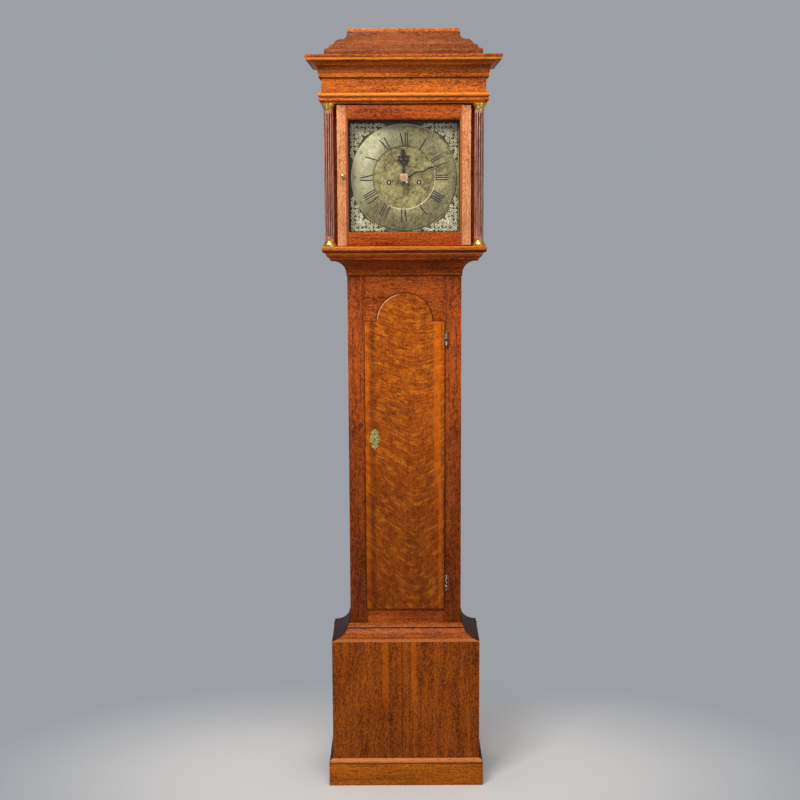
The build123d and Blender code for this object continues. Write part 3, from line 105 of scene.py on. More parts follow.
HOOD_FRONT = FRAME_LOW.y
FRIEZE_LOW, FRIEZE_HIGH = low_high("hood_frieze")
FRIEZE_HALF = FRIEZE_HIGH.x
FRIEZE_FRONT = FRIEZE_LOW.y
HOOD_TOP = FRIEZE_LOW.z

# Sizes that the frame doesn't give

STILE_FACE = 30 * MM
ARCH_RADIUS = 79.5 * MM
COLUMN_RADIUS = 12.8 * MM
RING_INNER = 84.5 * MM
MINUTE_RING = (121.5, 126.5)
CASE_BOARD = 16 * MM
HOOD_BOARD = 18 * MM
FRIEZE_BOARD = 20 * MM
BASE_JOINT = -11.5 * MM
BASE_JOINT_GAP = 0.5 * MM
CADDY_TOP_HALF = 151.5 * MM
HOOD_BASE_HEIGHT = 36
PLUG_PLACE = (-124 * MM, TRUNK_FRONT, 1048 * MM)
BARREL_DROP = 13 * MM
BARREL_WIND = 25.7 * MM
WINDING_HOLE_DEPTH = 12 * MM
WINDING_SQUARE = 2.05 * MM
WINDING_SQUARE_LENGTH = 9 * MM
BOARD_EASE = 0.9 * MM


# Camera

FOCAL = 62.85
EYE = Vector((-0.0135, -3.926, 1.72))
PITCH_DOWN = 8.765
LEAN = 0.24

lens = bpy.data.cameras.new("view")
lens.lens = FOCAL
lens.sensor_width = 36
lens.clip_end = 60
camera = added("view", lens)
level_look = Matrix.Rotation(math.radians(90 - PITCH_DOWN), 4, "X")
camera.matrix_world = Matrix.Translation(EYE) @ level_look @ Matrix.Rotation(math.radians(-LEAN), 4, "Z")
bpy.context.scene.camera = camera


# Shaders


def srgb(red, green, blue):
    """Screen colour from 0 to 255 as the linear colour that a shader takes."""
    values = []
    for share in (red / 255, green / 255, blue / 255):
        values.append(share / 12.92 if share <= 0.04045 else ((share + 0.055) / 1.055) ** 2.4)
    return (*values, 1)


def operator(operation, swapped=False):
    """Method of Value that adds a Math node."""
    def method(self, other):
        return self.maths(operation, *((other, self) if swapped else (self, other)))
    return method


class Value:
    """Socket of a shader that takes part in sums, each of which adds a Math node."""

    def __init__(self, shader, socket):
        self.shader = shader
        self.socket = socket

    def maths(self, operation, *values):
        return self.shader.node("ShaderNodeMath", {"operation": operation}, dict(enumerate(values)))

    __add__ = __radd__ = operator("ADD")
    __sub__ = operator("SUBTRACT")
    __rsub__ = operator("SUBTRACT", True)
    __mul__ = __rmul__ = operator("MULTIPLY")
    __pow__ = operator("POWER")
    __lt__ = operator("LESS_THAN")
    __gt__ = operator("GREATER_THAN")

    def size(self):
        return self.maths("ABSOLUTE", self)

    def limited(self):
        return self.maths("MINIMUM", self.maths("MAXIMUM", self, 0), 1)

    def ramp(self, start, end):
        """0 up to start, 1 from end, smooth between."""
        settings = {"interpolation_type": "SMOOTHSTEP"}
        sockets = {"Value": self, "From Min": start, "From Max": end, "To Min": 0, "To Max": 1}
        return self.shader.node("ShaderNodeMapRange", settings, sockets)

    def near(self, middle, inner, outer):
        """1 up to so many millimetres from a middle, 0 from so many on."""
        return 1 - (self - middle).size().ramp(inner * MM, outer * MM)


def linear(colour):
    """Colour for a shader, from a screen colour or a socket."""
    return srgb(*colour) if isinstance(colour, tuple) else colour


class Shader:
    """Material or world with its nodes."""

    def __init__(self, name, kind=bpy.data.materials):
        self.owner = kind.new(name)
        self.owner.use_nodes = True
        self.tree = self.owner.node_tree

    def node(self, kind, settings, sockets, output=0):
        made = self.tree.nodes.new(kind)
        for name, value in settings.items():
            setattr(made, name, value)
        for name, value in sockets.items():
            if isinstance(value, Value):
                self.tree.links.new(value.socket, made.inputs[name])
            else:
                made.inputs[name].default_value = value
        return Value(self, made.outputs[output])

    def place(self):
        return self.node("ShaderNodeTexCoord", {}, {}, "Object")

    def grain(self):
        """Place in a board: across it in x and y, along its grain in z."""
        settings = {"attribute_name": "grain", "attribute_type": "GEOMETRY"}
        return self.node("ShaderNodeAttribute", settings, {}, "Vector")

    def parts(self, place):
        x = self.node("ShaderNodeSeparateXYZ", {}, {0: place}, 0)
        return [Value(self, output) for output in x.socket.node.outputs]

    def noise(self, place, scale, detail=4, roughness=0.5, distortion=0):
        sockets = {"Vector": place, "Scale": scale, "Detail": detail, "Roughness": roughness}
        return self.node("ShaderNodeTexNoise", {}, {**sockets, "Distortion": distortion})

    def stretched(self, place, scale, detail=4, roughness=0.5, turn=(0, 0, 0), fine=1):
        """Noise along a place that is turned and scaled on each axis."""
        place = self.node("ShaderNodeMapping", {}, {"Vector": place, "Rotation": turn, "Scale": scale})
        return self.noise(place, fine, detail, roughness)

    def mix(self, share, first, second):
        settings = {"data_type": "RGBA"}
        return self.node("ShaderNodeMix", settings, {0: share, 6: linear(first), 7: linear(second)}, 2)

    def bump(self, height, depth, strength=1.0):
        return self.node("ShaderNodeBump", {}, {"Height": height, "Distance": depth, "Strength": strength})

    def finish(self, **sockets):
        surface = self.tree.nodes["Principled BSDF"]
        for name, value in sockets.items():
            target = surface.inputs[name.replace("_", " ")]
            if isinstance(value, Value):
                self.tree.links.new(value.socket, target)
            else:
                target.default_value = value
        return self.owner


def oak(name, pale, deep, gloss=0.5, figure=None, low_shade=0.0, pore=(44, 14, 2)):
    """Waxed oak: streaks, short flecks and open pores along the grain, with painted shade that makes it
    dimmer low down on the case.
    """
    wood = Shader(name)
    grain = wood.grain()
    streak = wood.stretched(grain, (90, 90, 4), 5, 0.6)
    fleck = wood.stretched(grain, (290, 290, 150), 3, 0.7)
    fibre = wood.stretched(grain, (560, 560, 24), 3, 0.6)
    mottle = wood.stretched(grain, (16, 16, 7), 3)
    tone = 0.5 + (streak - 0.5) * 1.1 + (fleck - 0.5) * 2.6 + (fibre - 0.5) * 1.2 + (mottle - 0.5) * 0.9
    colour = wood.mix(tone.limited(), deep, pale)
    # A figure may also paint highlights and shadow lines into the colour, as the moulding bands do.
    if figure:
        colour = figure(wood, colour)
    dashes = wood.stretched(grain, (700, 700, 60), 2, 0.5)
    open_pore = dashes.ramp(0.54, 0.66)
    colour = wood.mix(open_pore * 0.5, colour, pore)
    # Painted shade: this darkens the wood towards the bottom, standing in for the light falling off low
    # down.
    if low_shade:
        height = wood.parts(wood.place())[2]
        colour = wood.mix(height.ramp(1.35, 0.5) * low_shade, colour, pore)
    relief = open_pore * -0.6 + fibre * 0.4
    shine = gloss + open_pore * 0.2 + (mottle - 0.5) * 0.25
    return wood.finish(Base_Color=colour, Roughness=shine, Normal=wood.bump(relief, 0.35 * MM, 0.5),
                       Specular_IOR_Level=0.12, Coat_Weight=0.02, Coat_Roughness=0.35)


def band(level, low, high):
    """1 between two levels in millimetres, and 0 from half a millimetre outside them."""
    return level.ramp((low - 0.5) * MM, low * MM) * level.ramp((high + 0.5) * MM, high * MM)


def toned(bands, base):
    """Painted highlights, shade and shadow lines for a moulding: bands (low, high, share, colour) in
    millimetres above a base level.
    """
    def figure(wood, colour):
        level = wood.parts(wood.place())[2] - base
        for low, high, share, tint in bands:
            colour = wood.mix(band(level, low, high) * share, colour, tint)
        return colour
    return figure


def inner_bead(wood, colour):
    """Red bead that runs round the opening of the hood's door."""
    x = wood.parts(wood.place())[0]
    edge = FRAME_HIGH.x - STILE_FACE
    return wood.mix(x.size().ramp(edge + 8 * MM, edge + 6 * MM) * 0.8, colour, (150, 68, 28))


def base_streaks(wood, colour):
    """Two paler streaks that fade down the front of the base."""
    x, _, z = wood.parts(wood.place())
    streaks = x.near(-0.059, 6, 11) + x.near(0.023, 5, 10)
    return wood.mix(streaks * z.ramp(0.19, 0.3) * 0.4, colour, (210, 104, 8))


# Painted light for the mouldings: highlight, shade and shadow-line colours that the bands lay on the wood.
SHADOW_LINE = (34, 10, 2)
PAINTED_SHADE = (92, 34, 6)
PAINTED_HIGHLIGHT = (255, 158, 50)
PALE_HIGHLIGHT = (232, 146, 84)
HOOD_LIGHT_BANDS = [(18, 27, 0.5, PAINTED_HIGHLIGHT), (13.5, 17, 0.6, PAINTED_SHADE), (0, 8, 0.35, PAINTED_SHADE), (67, 69, 0.7, SHADOW_LINE)]
HOOD_LIGHT_BANDS += [(81, 100, 0.5, PAINTED_SHADE), (108, 111, 0.5, SHADOW_LINE), (112, 118.5, 0.35, PAINTED_HIGHLIGHT)]
HOOD_LIGHT_BANDS += [(119, 126, 0.4, PAINTED_SHADE)]
HOOD_BASE_LIGHT_BANDS = [(27, 36, 0.3, PAINTED_HIGHLIGHT), (19, 26, 0.6, SHADOW_LINE), (14, 18, 0.45, PAINTED_HIGHLIGHT), (5, 13, 0.2, PAINTED_SHADE)]
THROAT_LIGHT_BANDS = [(0, 1.6, 0.9, SHADOW_LINE), (3, 9, 0.14, PAINTED_HIGHLIGHT), (18, 49, 0.3, SHADOW_LINE)]
BASE_MOULDING_LIGHT_BANDS = [(0, 4, 0.4, PALE_HIGHLIGHT), (5, 8, 0.3, PAINTED_SHADE), (27.2, 29.4, 0.95, SHADOW_LINE)]
BASE_MOULDING_LIGHT_BANDS += [(30, 34, 0.15, PALE_HIGHLIGHT), (36, 40, 0.2, PALE_HIGHLIGHT)]
PLINTH_LIGHT_BANDS = [(63.5, 66.5, 0.7, SHADOW_LINE), (68, 79, 0.6, PALE_HIGHLIGHT)]
DOOR_RAY = (238, 134, 34)
DOOR_GOLD = (226, 110, 4)
DOOR_DEEP = (86, 30, 2)


def ray_fleck(wood, colour):
    """Thin broken rays: ripples in the upper part of the door, long slanting lines in the lower, with a
    painted highlight inside the arch and a painted shadow line round the lip.
    """
    place = wood.place()
    x, y, z = wood.parts(place)
    lower = z.ramp(1.2, 0.92)
    bowl = ((x - 0.028) ** 2 + 0.0004) ** 0.5
    height = z - bowl * (0.3 + lower * 0.42)
    rays = []
    for across, up, sharp in ((16, 115, 13), (30, 240, 8), (10, 62, 22)):
        path = wood.node("ShaderNodeCombineXYZ", {}, {0: x * across, 1: y * 20, 2: height * up})
        rays.append((1 - (wood.noise(path, 1, 3, 0.6, 0.3) - 0.5).size() * sharp).limited())
    ripple, fine, broad = rays
    patches = wood.node("ShaderNodeCombineXYZ", {}, {0: x * 34, 1: y, 2: height * 40})
    broken = wood.noise(patches, 1, 3, 0.6).ramp(0.44, 0.6)
    colour = wood.mix(fine * 0.18, colour, DOOR_RAY)
    colour = wood.mix(ripple * (0.25 + broken * 0.5) * (1 - lower * 0.55), colour, DOOR_RAY)
    colour = wood.mix(broad * broken * lower * 0.75, colour, DOOR_RAY)
    colour = wood.mix(x.ramp(-0.09, -0.1) * (0.25 + broken * 0.5), colour, DOOR_GOLD)
    dark_edge = x.ramp(-0.076, -0.09) * x.ramp(-0.104, -0.096)
    colour = wood.mix(dark_edge * 0.4, colour, DOOR_DEEP)
    high = z.ramp(0.84, 0.93)
    streak = (x.near(0.092, 6, 13) * high + x.near(0.1, 4, 7) * (1 - high)) * (0.55 + broken * 0.3)
    colour = wood.mix(streak.limited(), colour, DOOR_GOLD)
    rise = z - (DOOR_HIGH.z - ARCH_RADIUS)
    out = (x * x + rise * rise) ** 0.5
    # Painted highlight just inside the arch, on its upper left.
    arch_highlight = band(out - ARCH_RADIUS, -5, -3) * x.ramp(-5 * MM, -30 * MM)
    colour = wood.mix(arch_highlight * rise.ramp(0, 6 * MM) * 0.6, colour, (255, 196, 150))
    # Painted shadow line where the rounded lip falls away from the face.
    rim = y.ramp(DOOR_LOW.y + 0.5 * MM, DOOR_LOW.y + 1.6 * MM)
    return wood.mix(rim * 0.85, colour, SHADOW_LINE)


oak_case = oak("oak_case", (198, 92, 26), (90, 30, 4), low_shade=0.42)
oak_rail = oak("oak_rail", (224, 108, 34), (100, 36, 8), low_shade=0.26)
oak_door = oak("oak_door", (186, 78, 3), (84, 26, 1), 0.42, ray_fleck, 0.44)
oak_base = oak("oak_base", (176, 84, 6), (70, 28, 2), figure=base_streaks)
oak_plinth = oak("oak_plinth", (208, 110, 6), (104, 48, 3), figure=toned(PLINTH_LIGHT_BANDS, 0))
# Shaded copy of the oak: the base sides and moulding returns are painted dark to stand for the shade on the
# sides of the base.
oak_shaded_return = oak("oak_shaded_return", (72, 36, 30), (34, 16, 14))
oak_throat = oak("oak_throat", (214, 94, 22), (84, 28, 4), figure=toned(THROAT_LIGHT_BANDS, TRUNK_TOP))
oak_moulding = oak("oak_moulding", (206, 104, 36), (92, 36, 8), figure=toned(BASE_MOULDING_LIGHT_BANDS, BASE_TOP))
oak_hood_base = oak("oak_hood_base", (214, 96, 28), (92, 32, 6),
                    figure=toned(HOOD_BASE_LIGHT_BANDS, HOOD_FLOOR - HOOD_BASE_HEIGHT * MM))
oak_hood = oak("oak_hood", (244, 128, 40), (124, 46, 10), 0.42, toned(HOOD_LIGHT_BANDS, HOOD_TOP))
oak_hood_rail = oak("oak_hood_rail", (206, 96, 28), (96, 34, 8), 0.42)
oak_hood_stile = oak("oak_hood_stile", (240, 172, 122), (176, 94, 44), 0.42, inner_bead,
                     pore=(122, 54, 24))
oak_caddy = oak("oak_caddy", (160, 84, 36), (84, 38, 14))
oak_raw = oak("oak_raw", (140, 98, 60), (84, 54, 30), 0.7, pore=(40, 24, 12))


def mahogany():
    """Dark red wood of the fluted columns, with painted shade in the grooves between the flutes."""
    wood = Shader("mahogany")
    grain = wood.grain()
    low, high = low_high("hood_columns")
    x, y, _ = wood.parts(wood.place())
    across = x.size() - (high.x - COLUMN_RADIUS)
    deep = y - (low.y + high.y) / 2
    reach = (across * across + deep * deep) ** 0.5
    groove_shade_ramp = reach.ramp(COLUMN_RADIUS - 1.3 * MM, COLUMN_RADIUS - 0.3 * MM)
    streak = wood.stretched(grain, (260, 260, 9), 4, 0.6)
    fleck = wood.stretched(grain, (320, 320, 60), 3, 0.6)
    tone = (0.5 + (streak - 0.5) * 2.2 + (fleck - 0.5) * 2).limited()
    face = wood.mix(tone, (116, 54, 40), (208, 138, 112))
    # Painted shade: the grooves between the flutes go nearly black.
    colour = wood.mix(groove_shade_ramp, (46, 14, 10), face)
    return wood.finish(Base_Color=colour, Roughness=0.36, Coat_Weight=0.15, Coat_Roughness=0.25,
                       Normal=wood.bump(streak, 0.2 * MM, 0.4))


def brass(name, bright, dull, rough, wear=60, pits=0.25, metallic=1.0):
    """Brass with patches of tarnish and fine rubbing marks."""
    metal = Shader(name)
    place = metal.place()
    cloud = metal.noise(place, wear, 5, 0.6)
    rub = metal.stretched(place, (1, 1, 6), 2, fine=wear * 14)
    tarnish = (0.5 + (cloud - 0.5) * 2.6 + (rub - 0.5) * 0.6).limited()
    colour = metal.mix(tarnish, dull, bright)
    return metal.finish(Base_Color=colour, Metallic=metallic, Roughness=rough + (1 - tarnish) * 0.18,
                        Normal=metal.bump(rub, 0.05 * MM, pits))


def polar(shader):
    """Distance from the middle of the dial, and the clockwise turn from twelve."""
    x, _, z = shader.parts(shader.place())
    up = z - DIAL_MIDDLE
    distance = (x * x + up * up) ** 0.5
    return distance, x.maths("ARCTAN2", x, up), x, up


def spokes(turn, count, width, distance):
    """Radial marks, so many in a full turn, of a width in millimetres."""
    share = turn * (count / FULL_TURN)
    off = (share - share.maths("ROUND", share)).size()
    return (off * distance * (FULL_TURN / count)).near(0, width / 2, width)


def between(distance, inner, outer):
    return (distance > inner) * (distance < outer)


def rim_light(x, up, distance):
    """From -1 at the lower right of the dial to 1 at its upper left."""
    return (up - x) * 0.72 * distance ** -1


def aged(metal, level, cloud, share):
    """Tone of old brass, from clouds and a share of fine stains round a level."""
    fine = metal.noise(metal.place(), 420, 3, 0.65)
    stain = metal.noise(metal.place(), 120, 4, 0.65)
    return (level + (cloud - 0.5) * 1.6 + ((fine - 0.5) * 2.6 + (stain - 0.5) * 1.8) * share).limited()


def ring_brass():
    """Chapter ring: old yellow brass, with a painted highlight to the upper left, painted shade to the
    lower right, painted light and shade on its edges, and engraved circles and minute marks.
    """
    metal = Shader("ring_brass")
    distance, turn, x, up = polar(metal)
    tone = aged(metal, 0.45, metal.noise(metal.place(), 20, 5, 0.62), 0.85)
    colour = metal.mix(tone, (96, 88, 46), (200, 190, 134))
    # Painted highlight to the upper left and painted shade to the lower right, as the light falls across
    # the ring.
    colour = metal.mix((up * 0.5 - x).ramp(40 * MM, 125 * MM) * 0.42, colour, (240, 236, 196))
    colour = metal.mix((up * -1 - x * 0.3).ramp(60 * MM, 130 * MM) * 0.25, colour, (96, 88, 44))
    # Painted highlights and shade on the outer and inner edges, taken from the side the light comes from.
    side = rim_light(x, up, distance)
    bright, dark = side.ramp(-0.1, 0.6), side.ramp(0.1, -0.6)
    outer = distance.ramp(RING_OUTER - 2.2 * MM, RING_OUTER - 1.2 * MM)
    inner = distance.ramp(RING_INNER + 2 * MM, RING_INNER + 1 * MM)
    colour = metal.mix((outer * bright + inner * dark) * 0.7, colour, (250, 244, 206))
    colour = metal.mix((outer * dark + inner * bright) * 0.7, colour, (52, 46, 24))
    inner_line, outer_line = (radius * MM for radius in MINUTE_RING)
    lines = distance.near(inner_line, 0.3, 0.6) + distance.near(outer_line, 0.3, 0.6)
    minutes = spokes(turn, 60, 0.6, distance) * between(distance, inner_line, outer_line)
    quarters = spokes(turn, 48, 0.5, distance) * between(distance, RING_INNER, 87 * MM)
    lines = (lines + minutes + quarters).limited()
    colour = metal.mix(lines * 0.4, colour, (44, 40, 20))
    return metal.finish(Base_Color=colour, Metallic=0.55, Roughness=0.5 + (1 - tone) * 0.15,
                        Normal=metal.bump(tone * 0.3 - lines, 0.12 * MM, 0.5))


def centre_brass():
    """Dial plate with its engraved centre and plain margins."""
    metal = Shader("centre_brass")
    distance, _, x, up = polar(metal)
    place = metal.place()
    scroll = metal.noise(place, 42, 2, 0.5, 2.2)
    engraving = (1 - (scroll - 0.5).size() * 26).limited() * between(distance, 20 * MM, 80 * MM)
    hatch = metal.stretched(place, (500, 1, 60), 2, turn=(0, 0.7, 0)).ramp(0.55, 0.7)
    leaves = metal.noise(place, 34, 1, 0.5, 1.5).ramp(0.52, 0.6) * between(distance, 24 * MM, 76 * MM)
    tone = aged(metal, 0.44, metal.noise(place, 30, 5, 0.6), 0.9)
    colour = metal.mix(tone, (92, 80, 34), (206, 196, 132))
    marks = (engraving * 0.55 + hatch * leaves * 0.45).limited()
    colour = metal.mix(marks * 0.6, colour, (62, 54, 24))
    shadow = up.ramp(138 * MM, 141 * MM) + x.ramp(-138 * MM, -141 * MM)
    colour = metal.mix(shadow.limited() * 0.9, colour, (14, 14, 10))
    # Painted shade on the plate along the inner edge of the chapter ring.
    rim = distance.ramp(RING_INNER - 1.6 * MM, RING_INNER - 0.6 * MM)
    colour = metal.mix(rim * 0.5 * between(distance, 0, RING_INNER), colour, (60, 52, 24))
    return metal.finish(Base_Color=colour, Metallic=0.55, Roughness=0.45 + (1 - tone) * 0.15,
                        Normal=metal.bump(marks * -1, 0.12 * MM, 0.6))


def plain(name, colour, rough, metallic=0.0, spot=90, depth=0.05):
    """Even finish with a slight change of tone and a fine surface."""
    coat = Shader(name)
    colour = srgb(*colour)
    place = coat.place()
    cloud = coat.noise(place, spot, 4, 0.6)
    fine = coat.noise(place, spot * 12, 2)
    darker = [channel * 0.6 for channel in colour[:3]] + [1]
    shade = coat.mix((0.5 + (cloud - 0.5) * 2).limited(), darker, list(colour))
    return coat.finish(Base_Color=shade, Metallic=metallic, Roughness=rough + (cloud - 0.5) * 0.25,
                       Normal=coat.bump(fine, depth * MM, 0.5))


def window_glass():
    glass = Shader("window_glass")
    return glass.finish(Base_Color=(0.3, 0.3, 0.3, 1), Roughness=0.02, Alpha=0.03, IOR=1.45)


def gut():
    """Twisted gut, with its strands winding round it."""
    cord = Shader("gut")
    x, y, z = cord.parts(cord.place())
    twist = cord.node("ShaderNodeMath", {"operation": "SINE"}, {0: z * 2600 + x * 1500 + y * 1500})
    colour = cord.mix(twist * 0.5 + 0.5, (96, 62, 30), (176, 132, 76))
    return cord.finish(Base_Color=colour, Roughness=0.55, Normal=cord.bump(twist, 0.15 * MM, 0.6))


def hinge_metal():
    """Worn iron of the hinges, with the leaf on the stile stained like the wood."""
    metal = Shader("hinge_metal")
    place = metal.place()
    x = metal.parts(place)[0]
    knuckle_edge = low_high("trunk_hinge_plates")[0].x + 7.4 * MM
    worn = metal.noise(place, 170, 3, 0.6).ramp(0.48, 0.6)
    colour = metal.mix(worn, (34, 22, 14), (206, 190, 164))
    stain = x.ramp(knuckle_edge - 0.4 * MM, knuckle_edge + 0.4 * MM)
    colour = metal.mix(stain, colour, (124, 52, 14))
    return metal.finish(Base_Color=colour, Metallic=0.3, Roughness=0.45,
                        Normal=metal.bump(worn, 0.1 * MM, 0.5))


dark_wood = mahogany()
hinge_finish = hinge_metal()
bright_brass = brass("bright_brass", (250, 218, 128), (186, 140, 62), 0.2)
# Lit copy of the corner brass: near-white and barely metallic, so its colour carries painted highlights in
# place of reflections.
cast_brass = brass("cast_brass", (255, 255, 224), (198, 188, 124), 0.34, 150, metallic=0.1)
plate_brass = brass("plate_brass", (226, 190, 112), (176, 136, 66), 0.32, 26)
old_brass = brass("old_brass", (250, 236, 150), (52, 42, 14), 0.3, 320, metallic=0.6)
# Shaded copy of the corner brass: the ground between the scrolls is painted near black to stand for the
# shade in its hollows.
shaded_ground_brass = brass("shaded_ground_brass", (96, 90, 56), (34, 32, 20), 0.5, 240, 0.6, 0.5)
ring_finish = ring_brass()
centre_finish = centre_brass()
bell_finish = brass("bell_finish", (206, 184, 132), (140, 118, 74), 0.3, 24)
# Painted reflection: the collet's pink tint stands for the surroundings mirrored in its dome.
collet_pink_reflection = plain("collet_brass", (240, 186, 148), 0.4, 0.4)
blued = plain("blued_steel", (46, 38, 36), 0.4, 0.5, 140)
bright_steel = plain("bright_steel", (190, 190, 188), 0.28, 1.0, 120)
# Painted highlight: near-white, barely metallic steel gives the bright glint on the winding squares and the
# collet pin.
glint_white_steel = plain("glint_white_steel", (244, 240, 232), 0.3, 0.2, 120)
iron = plain("iron", (58, 50, 44), 0.5, 0.6, 120, 0.2)
weight_iron = plain("weight_iron", (66, 64, 62), 0.55, 0.5, 60, 0.5)
black_wax = plain("black_wax", (24, 28, 40), 0.5)
dark_plug = plain("dark_plug", (20, 9, 5), 0.8)
pane = window_glass()
gut_cord = gut()


# Solids: each function gives a bmesh that piece() joins with others


SHARP = math.radians(30)


def soften(solid, ease):
    """Round off the sharp edges of a solid."""
    sharp = [e for e in solid.edges if e.is_manifold and e.calc_face_angle() > SHARP]
    bmesh.ops.bevel(solid, geom=sharp, offset=ease, offset_type="OFFSET", segments=2,
                    profile=0.5, affect="EDGES", clamp_overlap=True, material=-1)
    return solid


def placed(solid, matrix):
    bmesh.ops.transform(solid, matrix=matrix, verts=solid.verts)
    return solid


def metres(points):
    """Outline in metres from one in millimetres."""
    return [(x * MM, y * MM) for x, y in points]


def block(low, high, ease=0.7 * MM):
    """Board between two corners, with its edges softened."""
    solid = bmesh.new()
    bmesh.ops.create_cube(solid, size=1)
    size = [b - a for a, b in zip(low, high)]
    middle = [(a + b) / 2 for a, b in zip(low, high)]
    return soften(placed(solid, Matrix.Translation(middle) @ Matrix.Diagonal((*size, 1))), ease)


BEND_STEPS = 8


def curved(corners):
    """Outline from corners in millimetres. A third value bends the run up to its corner that far left."""
    path = [Vector(corners[0][:2])]
    for corner in corners[1:]:
        start, end = path[-1], Vector(corner[:2])
        if len(corner) == 3:
            rise = corner[2]
            chord = end - start
            left = Vector((-chord.y, chord.x)).normalized()
            radius = (chord.length ** 2 / 4 + rise ** 2) / (2 * rise)
            middle = (start + end) / 2 + left * (rise - radius)
            sweep = (start - middle).angle_signed(end - middle)
            if sweep * rise < 0:
                sweep += math.copysign(FULL_TURN, rise)
            for step in range(1, BEND_STEPS):
                turn = Matrix.Rotation(-sweep * step / BEND_STEPS, 2)
                path.append(middle + turn @ (start - middle))
        path.append(end)
    return [point * MM for point in path]


def run(points, end, ease=0.5 * MM):
    """Close a flat outline and carry it to its other end, where end() gives each place."""
    solid = bmesh.new()
    face = solid.faces.new([solid.verts.new(point) for point in points])
    grown = bmesh.ops.extrude_face_region(solid, geom=[face])
    for part in grown["geom"]:
        if isinstance(part, bmesh.types.BMVert):
            part.co = end(part.co)
    bmesh.ops.recalc_face_normals(solid, faces=solid.faces)
    return soften(solid, ease) if ease else solid


def plate(points, front, back, ease=0.5 * MM):
    """Plate between two depths from an outline across and up."""
    places = [(x, front, z) for x, z in points]
    return run(places, lambda co: (co.x, back, co.z), ease)


def mirrored(solid):
    """The same solid on the other side of the clock."""
    other = solid.copy()
    bmesh.ops.scale(other, vec=(-1, 1, 1), verts=other.verts)
    bmesh.ops.reverse_faces(other, faces=other.faces)
    return other


def pair(solid, direction):
    """Right and left board, each with its own run of grain."""
    return [grained(solid, direction), grained(mirrored(solid), direction)]


GRAIN_ORDER = {"x": (1, 2, 0), "y": (0, 2, 1), "z": (0, 1, 2)}


def grained(solid, direction):
    """Lay the grain of a board along x, y or z, from its own place in the tree."""
    layer = solid.verts.layers.float_vector.new("grain")
    order = GRAIN_ORDER[direction]
    shift = Vector([random.uniform(-3, 3) for axis in range(3)])
    for vert in solid.verts:
        vert[layer] = Vector([vert.co[axis] for axis in order]) + shift
    return solid


def moulding(profile, level, half, front, back):
    """Front length and two returns of a moulding on a level, mitred at the front corners."""
    points = curved([(point[0], point[1] + level / MM, *point[2:]) for point in profile])
    front_places = [(-half - out, front - out, z) for out, z in points]
    long = run(front_places, lambda co: (-co.x, co.y, co.z), MOULDING_EASE)
    side_places = [(half + out, front - out, z) for out, z in points]
    side = run(side_places, lambda co: (co.x, back, co.z), MOULDING_EASE)
    return [grained(long, "x")] + pair(side, "y")


MOULDING_EASE = 0.45 * MM


def turned(corners, axis, place, steps=48):
    """Round solid from corners (radius, height) in millimetres, turned about an axis at a place."""
    solid = bmesh.new()
    points = [Vector((radius, 0, height)) for radius, height in curved(corners)]
    line = [solid.verts.new(point) for point in points]
    edges = [solid.edges.new(ends) for ends in zip(line, line[1:])]
    bmesh.ops.spin(solid, geom=line + edges, cent=(0, 0, 0), axis=(0, 0, 1), angle=FULL_TURN,
                   steps=steps, use_merge=True)
    bmesh.ops.remove_doubles(solid, verts=solid.verts, dist=1e-7)
    bmesh.ops.recalc_face_normals(solid, faces=solid.faces)
    lay = Matrix.Identity(4)
    if axis == "y":
        lay = Matrix.Rotation(math.radians(90), 4, "X")
    return placed(solid, Matrix.Translation(place) @ lay)


def eased(node, ease):
    """Copy of a construction node with its faces joined and its edges softened."""
    solid = bmesh.new()
    solid.from_mesh(nodes[node].data)
    bmesh.ops.remove_doubles(solid, verts=solid.verts, dist=2e-6)
    bmesh.ops.dissolve_limit(solid, angle_limit=math.radians(0.5), verts=solid.verts, edges=solid.edges)
    return soften(solid, ease)


def tube(points, radius, taper=1.0):
    """Round wire through points, thinning towards its end."""
    curve = bpy.data.curves.new("wire", "CURVE")
    curve.dimensions = "3D"
    curve.bevel_depth = radius
    curve.bevel_resolution = 1
    curve.use_fill_caps = True
    spline = curve.splines.new("POLY")
    spline.points.add(len(points) - 1)
    for number, (target, point) in enumerate(zip(spline.points, points)):
        target.co = (*point, 1)
        target.radius = 1 + (taper - 1) * number / (len(points) - 1)
    return from_curve(curve)


def from_curve(curve):
    """Mesh of a curve or text as a bmesh."""
    holder = added("holder", curve)
    bpy.context.view_layer.update()
    mesh = bpy.data.meshes.new_from_object(holder.evaluated_get(bpy.context.evaluated_depsgraph_get()))
    solid = bmesh.new()
    solid.from_mesh(mesh)
    bpy.data.objects.remove(holder)
    bpy.data.curves.remove(curve)
    bpy.data.meshes.remove(mesh)
    return solid


def fretted(outlines, thickness, ease=0.12 * MM):
    """Flat plate from outlines in millimetres: every outline inside another is a hole."""
    curve = bpy.data.curves.new("fret", "CURVE")
    curve.dimensions = "2D"
    curve.fill_mode = "BOTH"
    curve.extrude = thickness / 2 - ease
    curve.bevel_depth = ease
    curve.bevel_resolution = 1
    for outline in map(metres, outlines):
        spline = curve.splines.new("POLY")
        spline.points.add(len(outline) - 1)
        for target, point in zip(spline.points, outline):
            target.co = (point[0], point[1], 0, 1)
        spline.use_cyclic_u = True
    return from_curve(curve)


def circle(x, y, radius, steps=20):
    turns = [FULL_TURN * step / steps for step in range(steps)]
    return [(x + radius * math.cos(turn), y + radius * math.sin(turn)) for turn in turns]


def upright(solid, place=(0, 0, 0), clockwise=0):
    """Stand a solid drawn in x and y up to face the front, turned clockwise in degrees."""
    stand = Matrix.Rotation(math.radians(clockwise), 4, "Y") @ Matrix.Rotation(math.radians(90), 4, "X")
    return placed(solid, Matrix.Translation(place) @ stand)


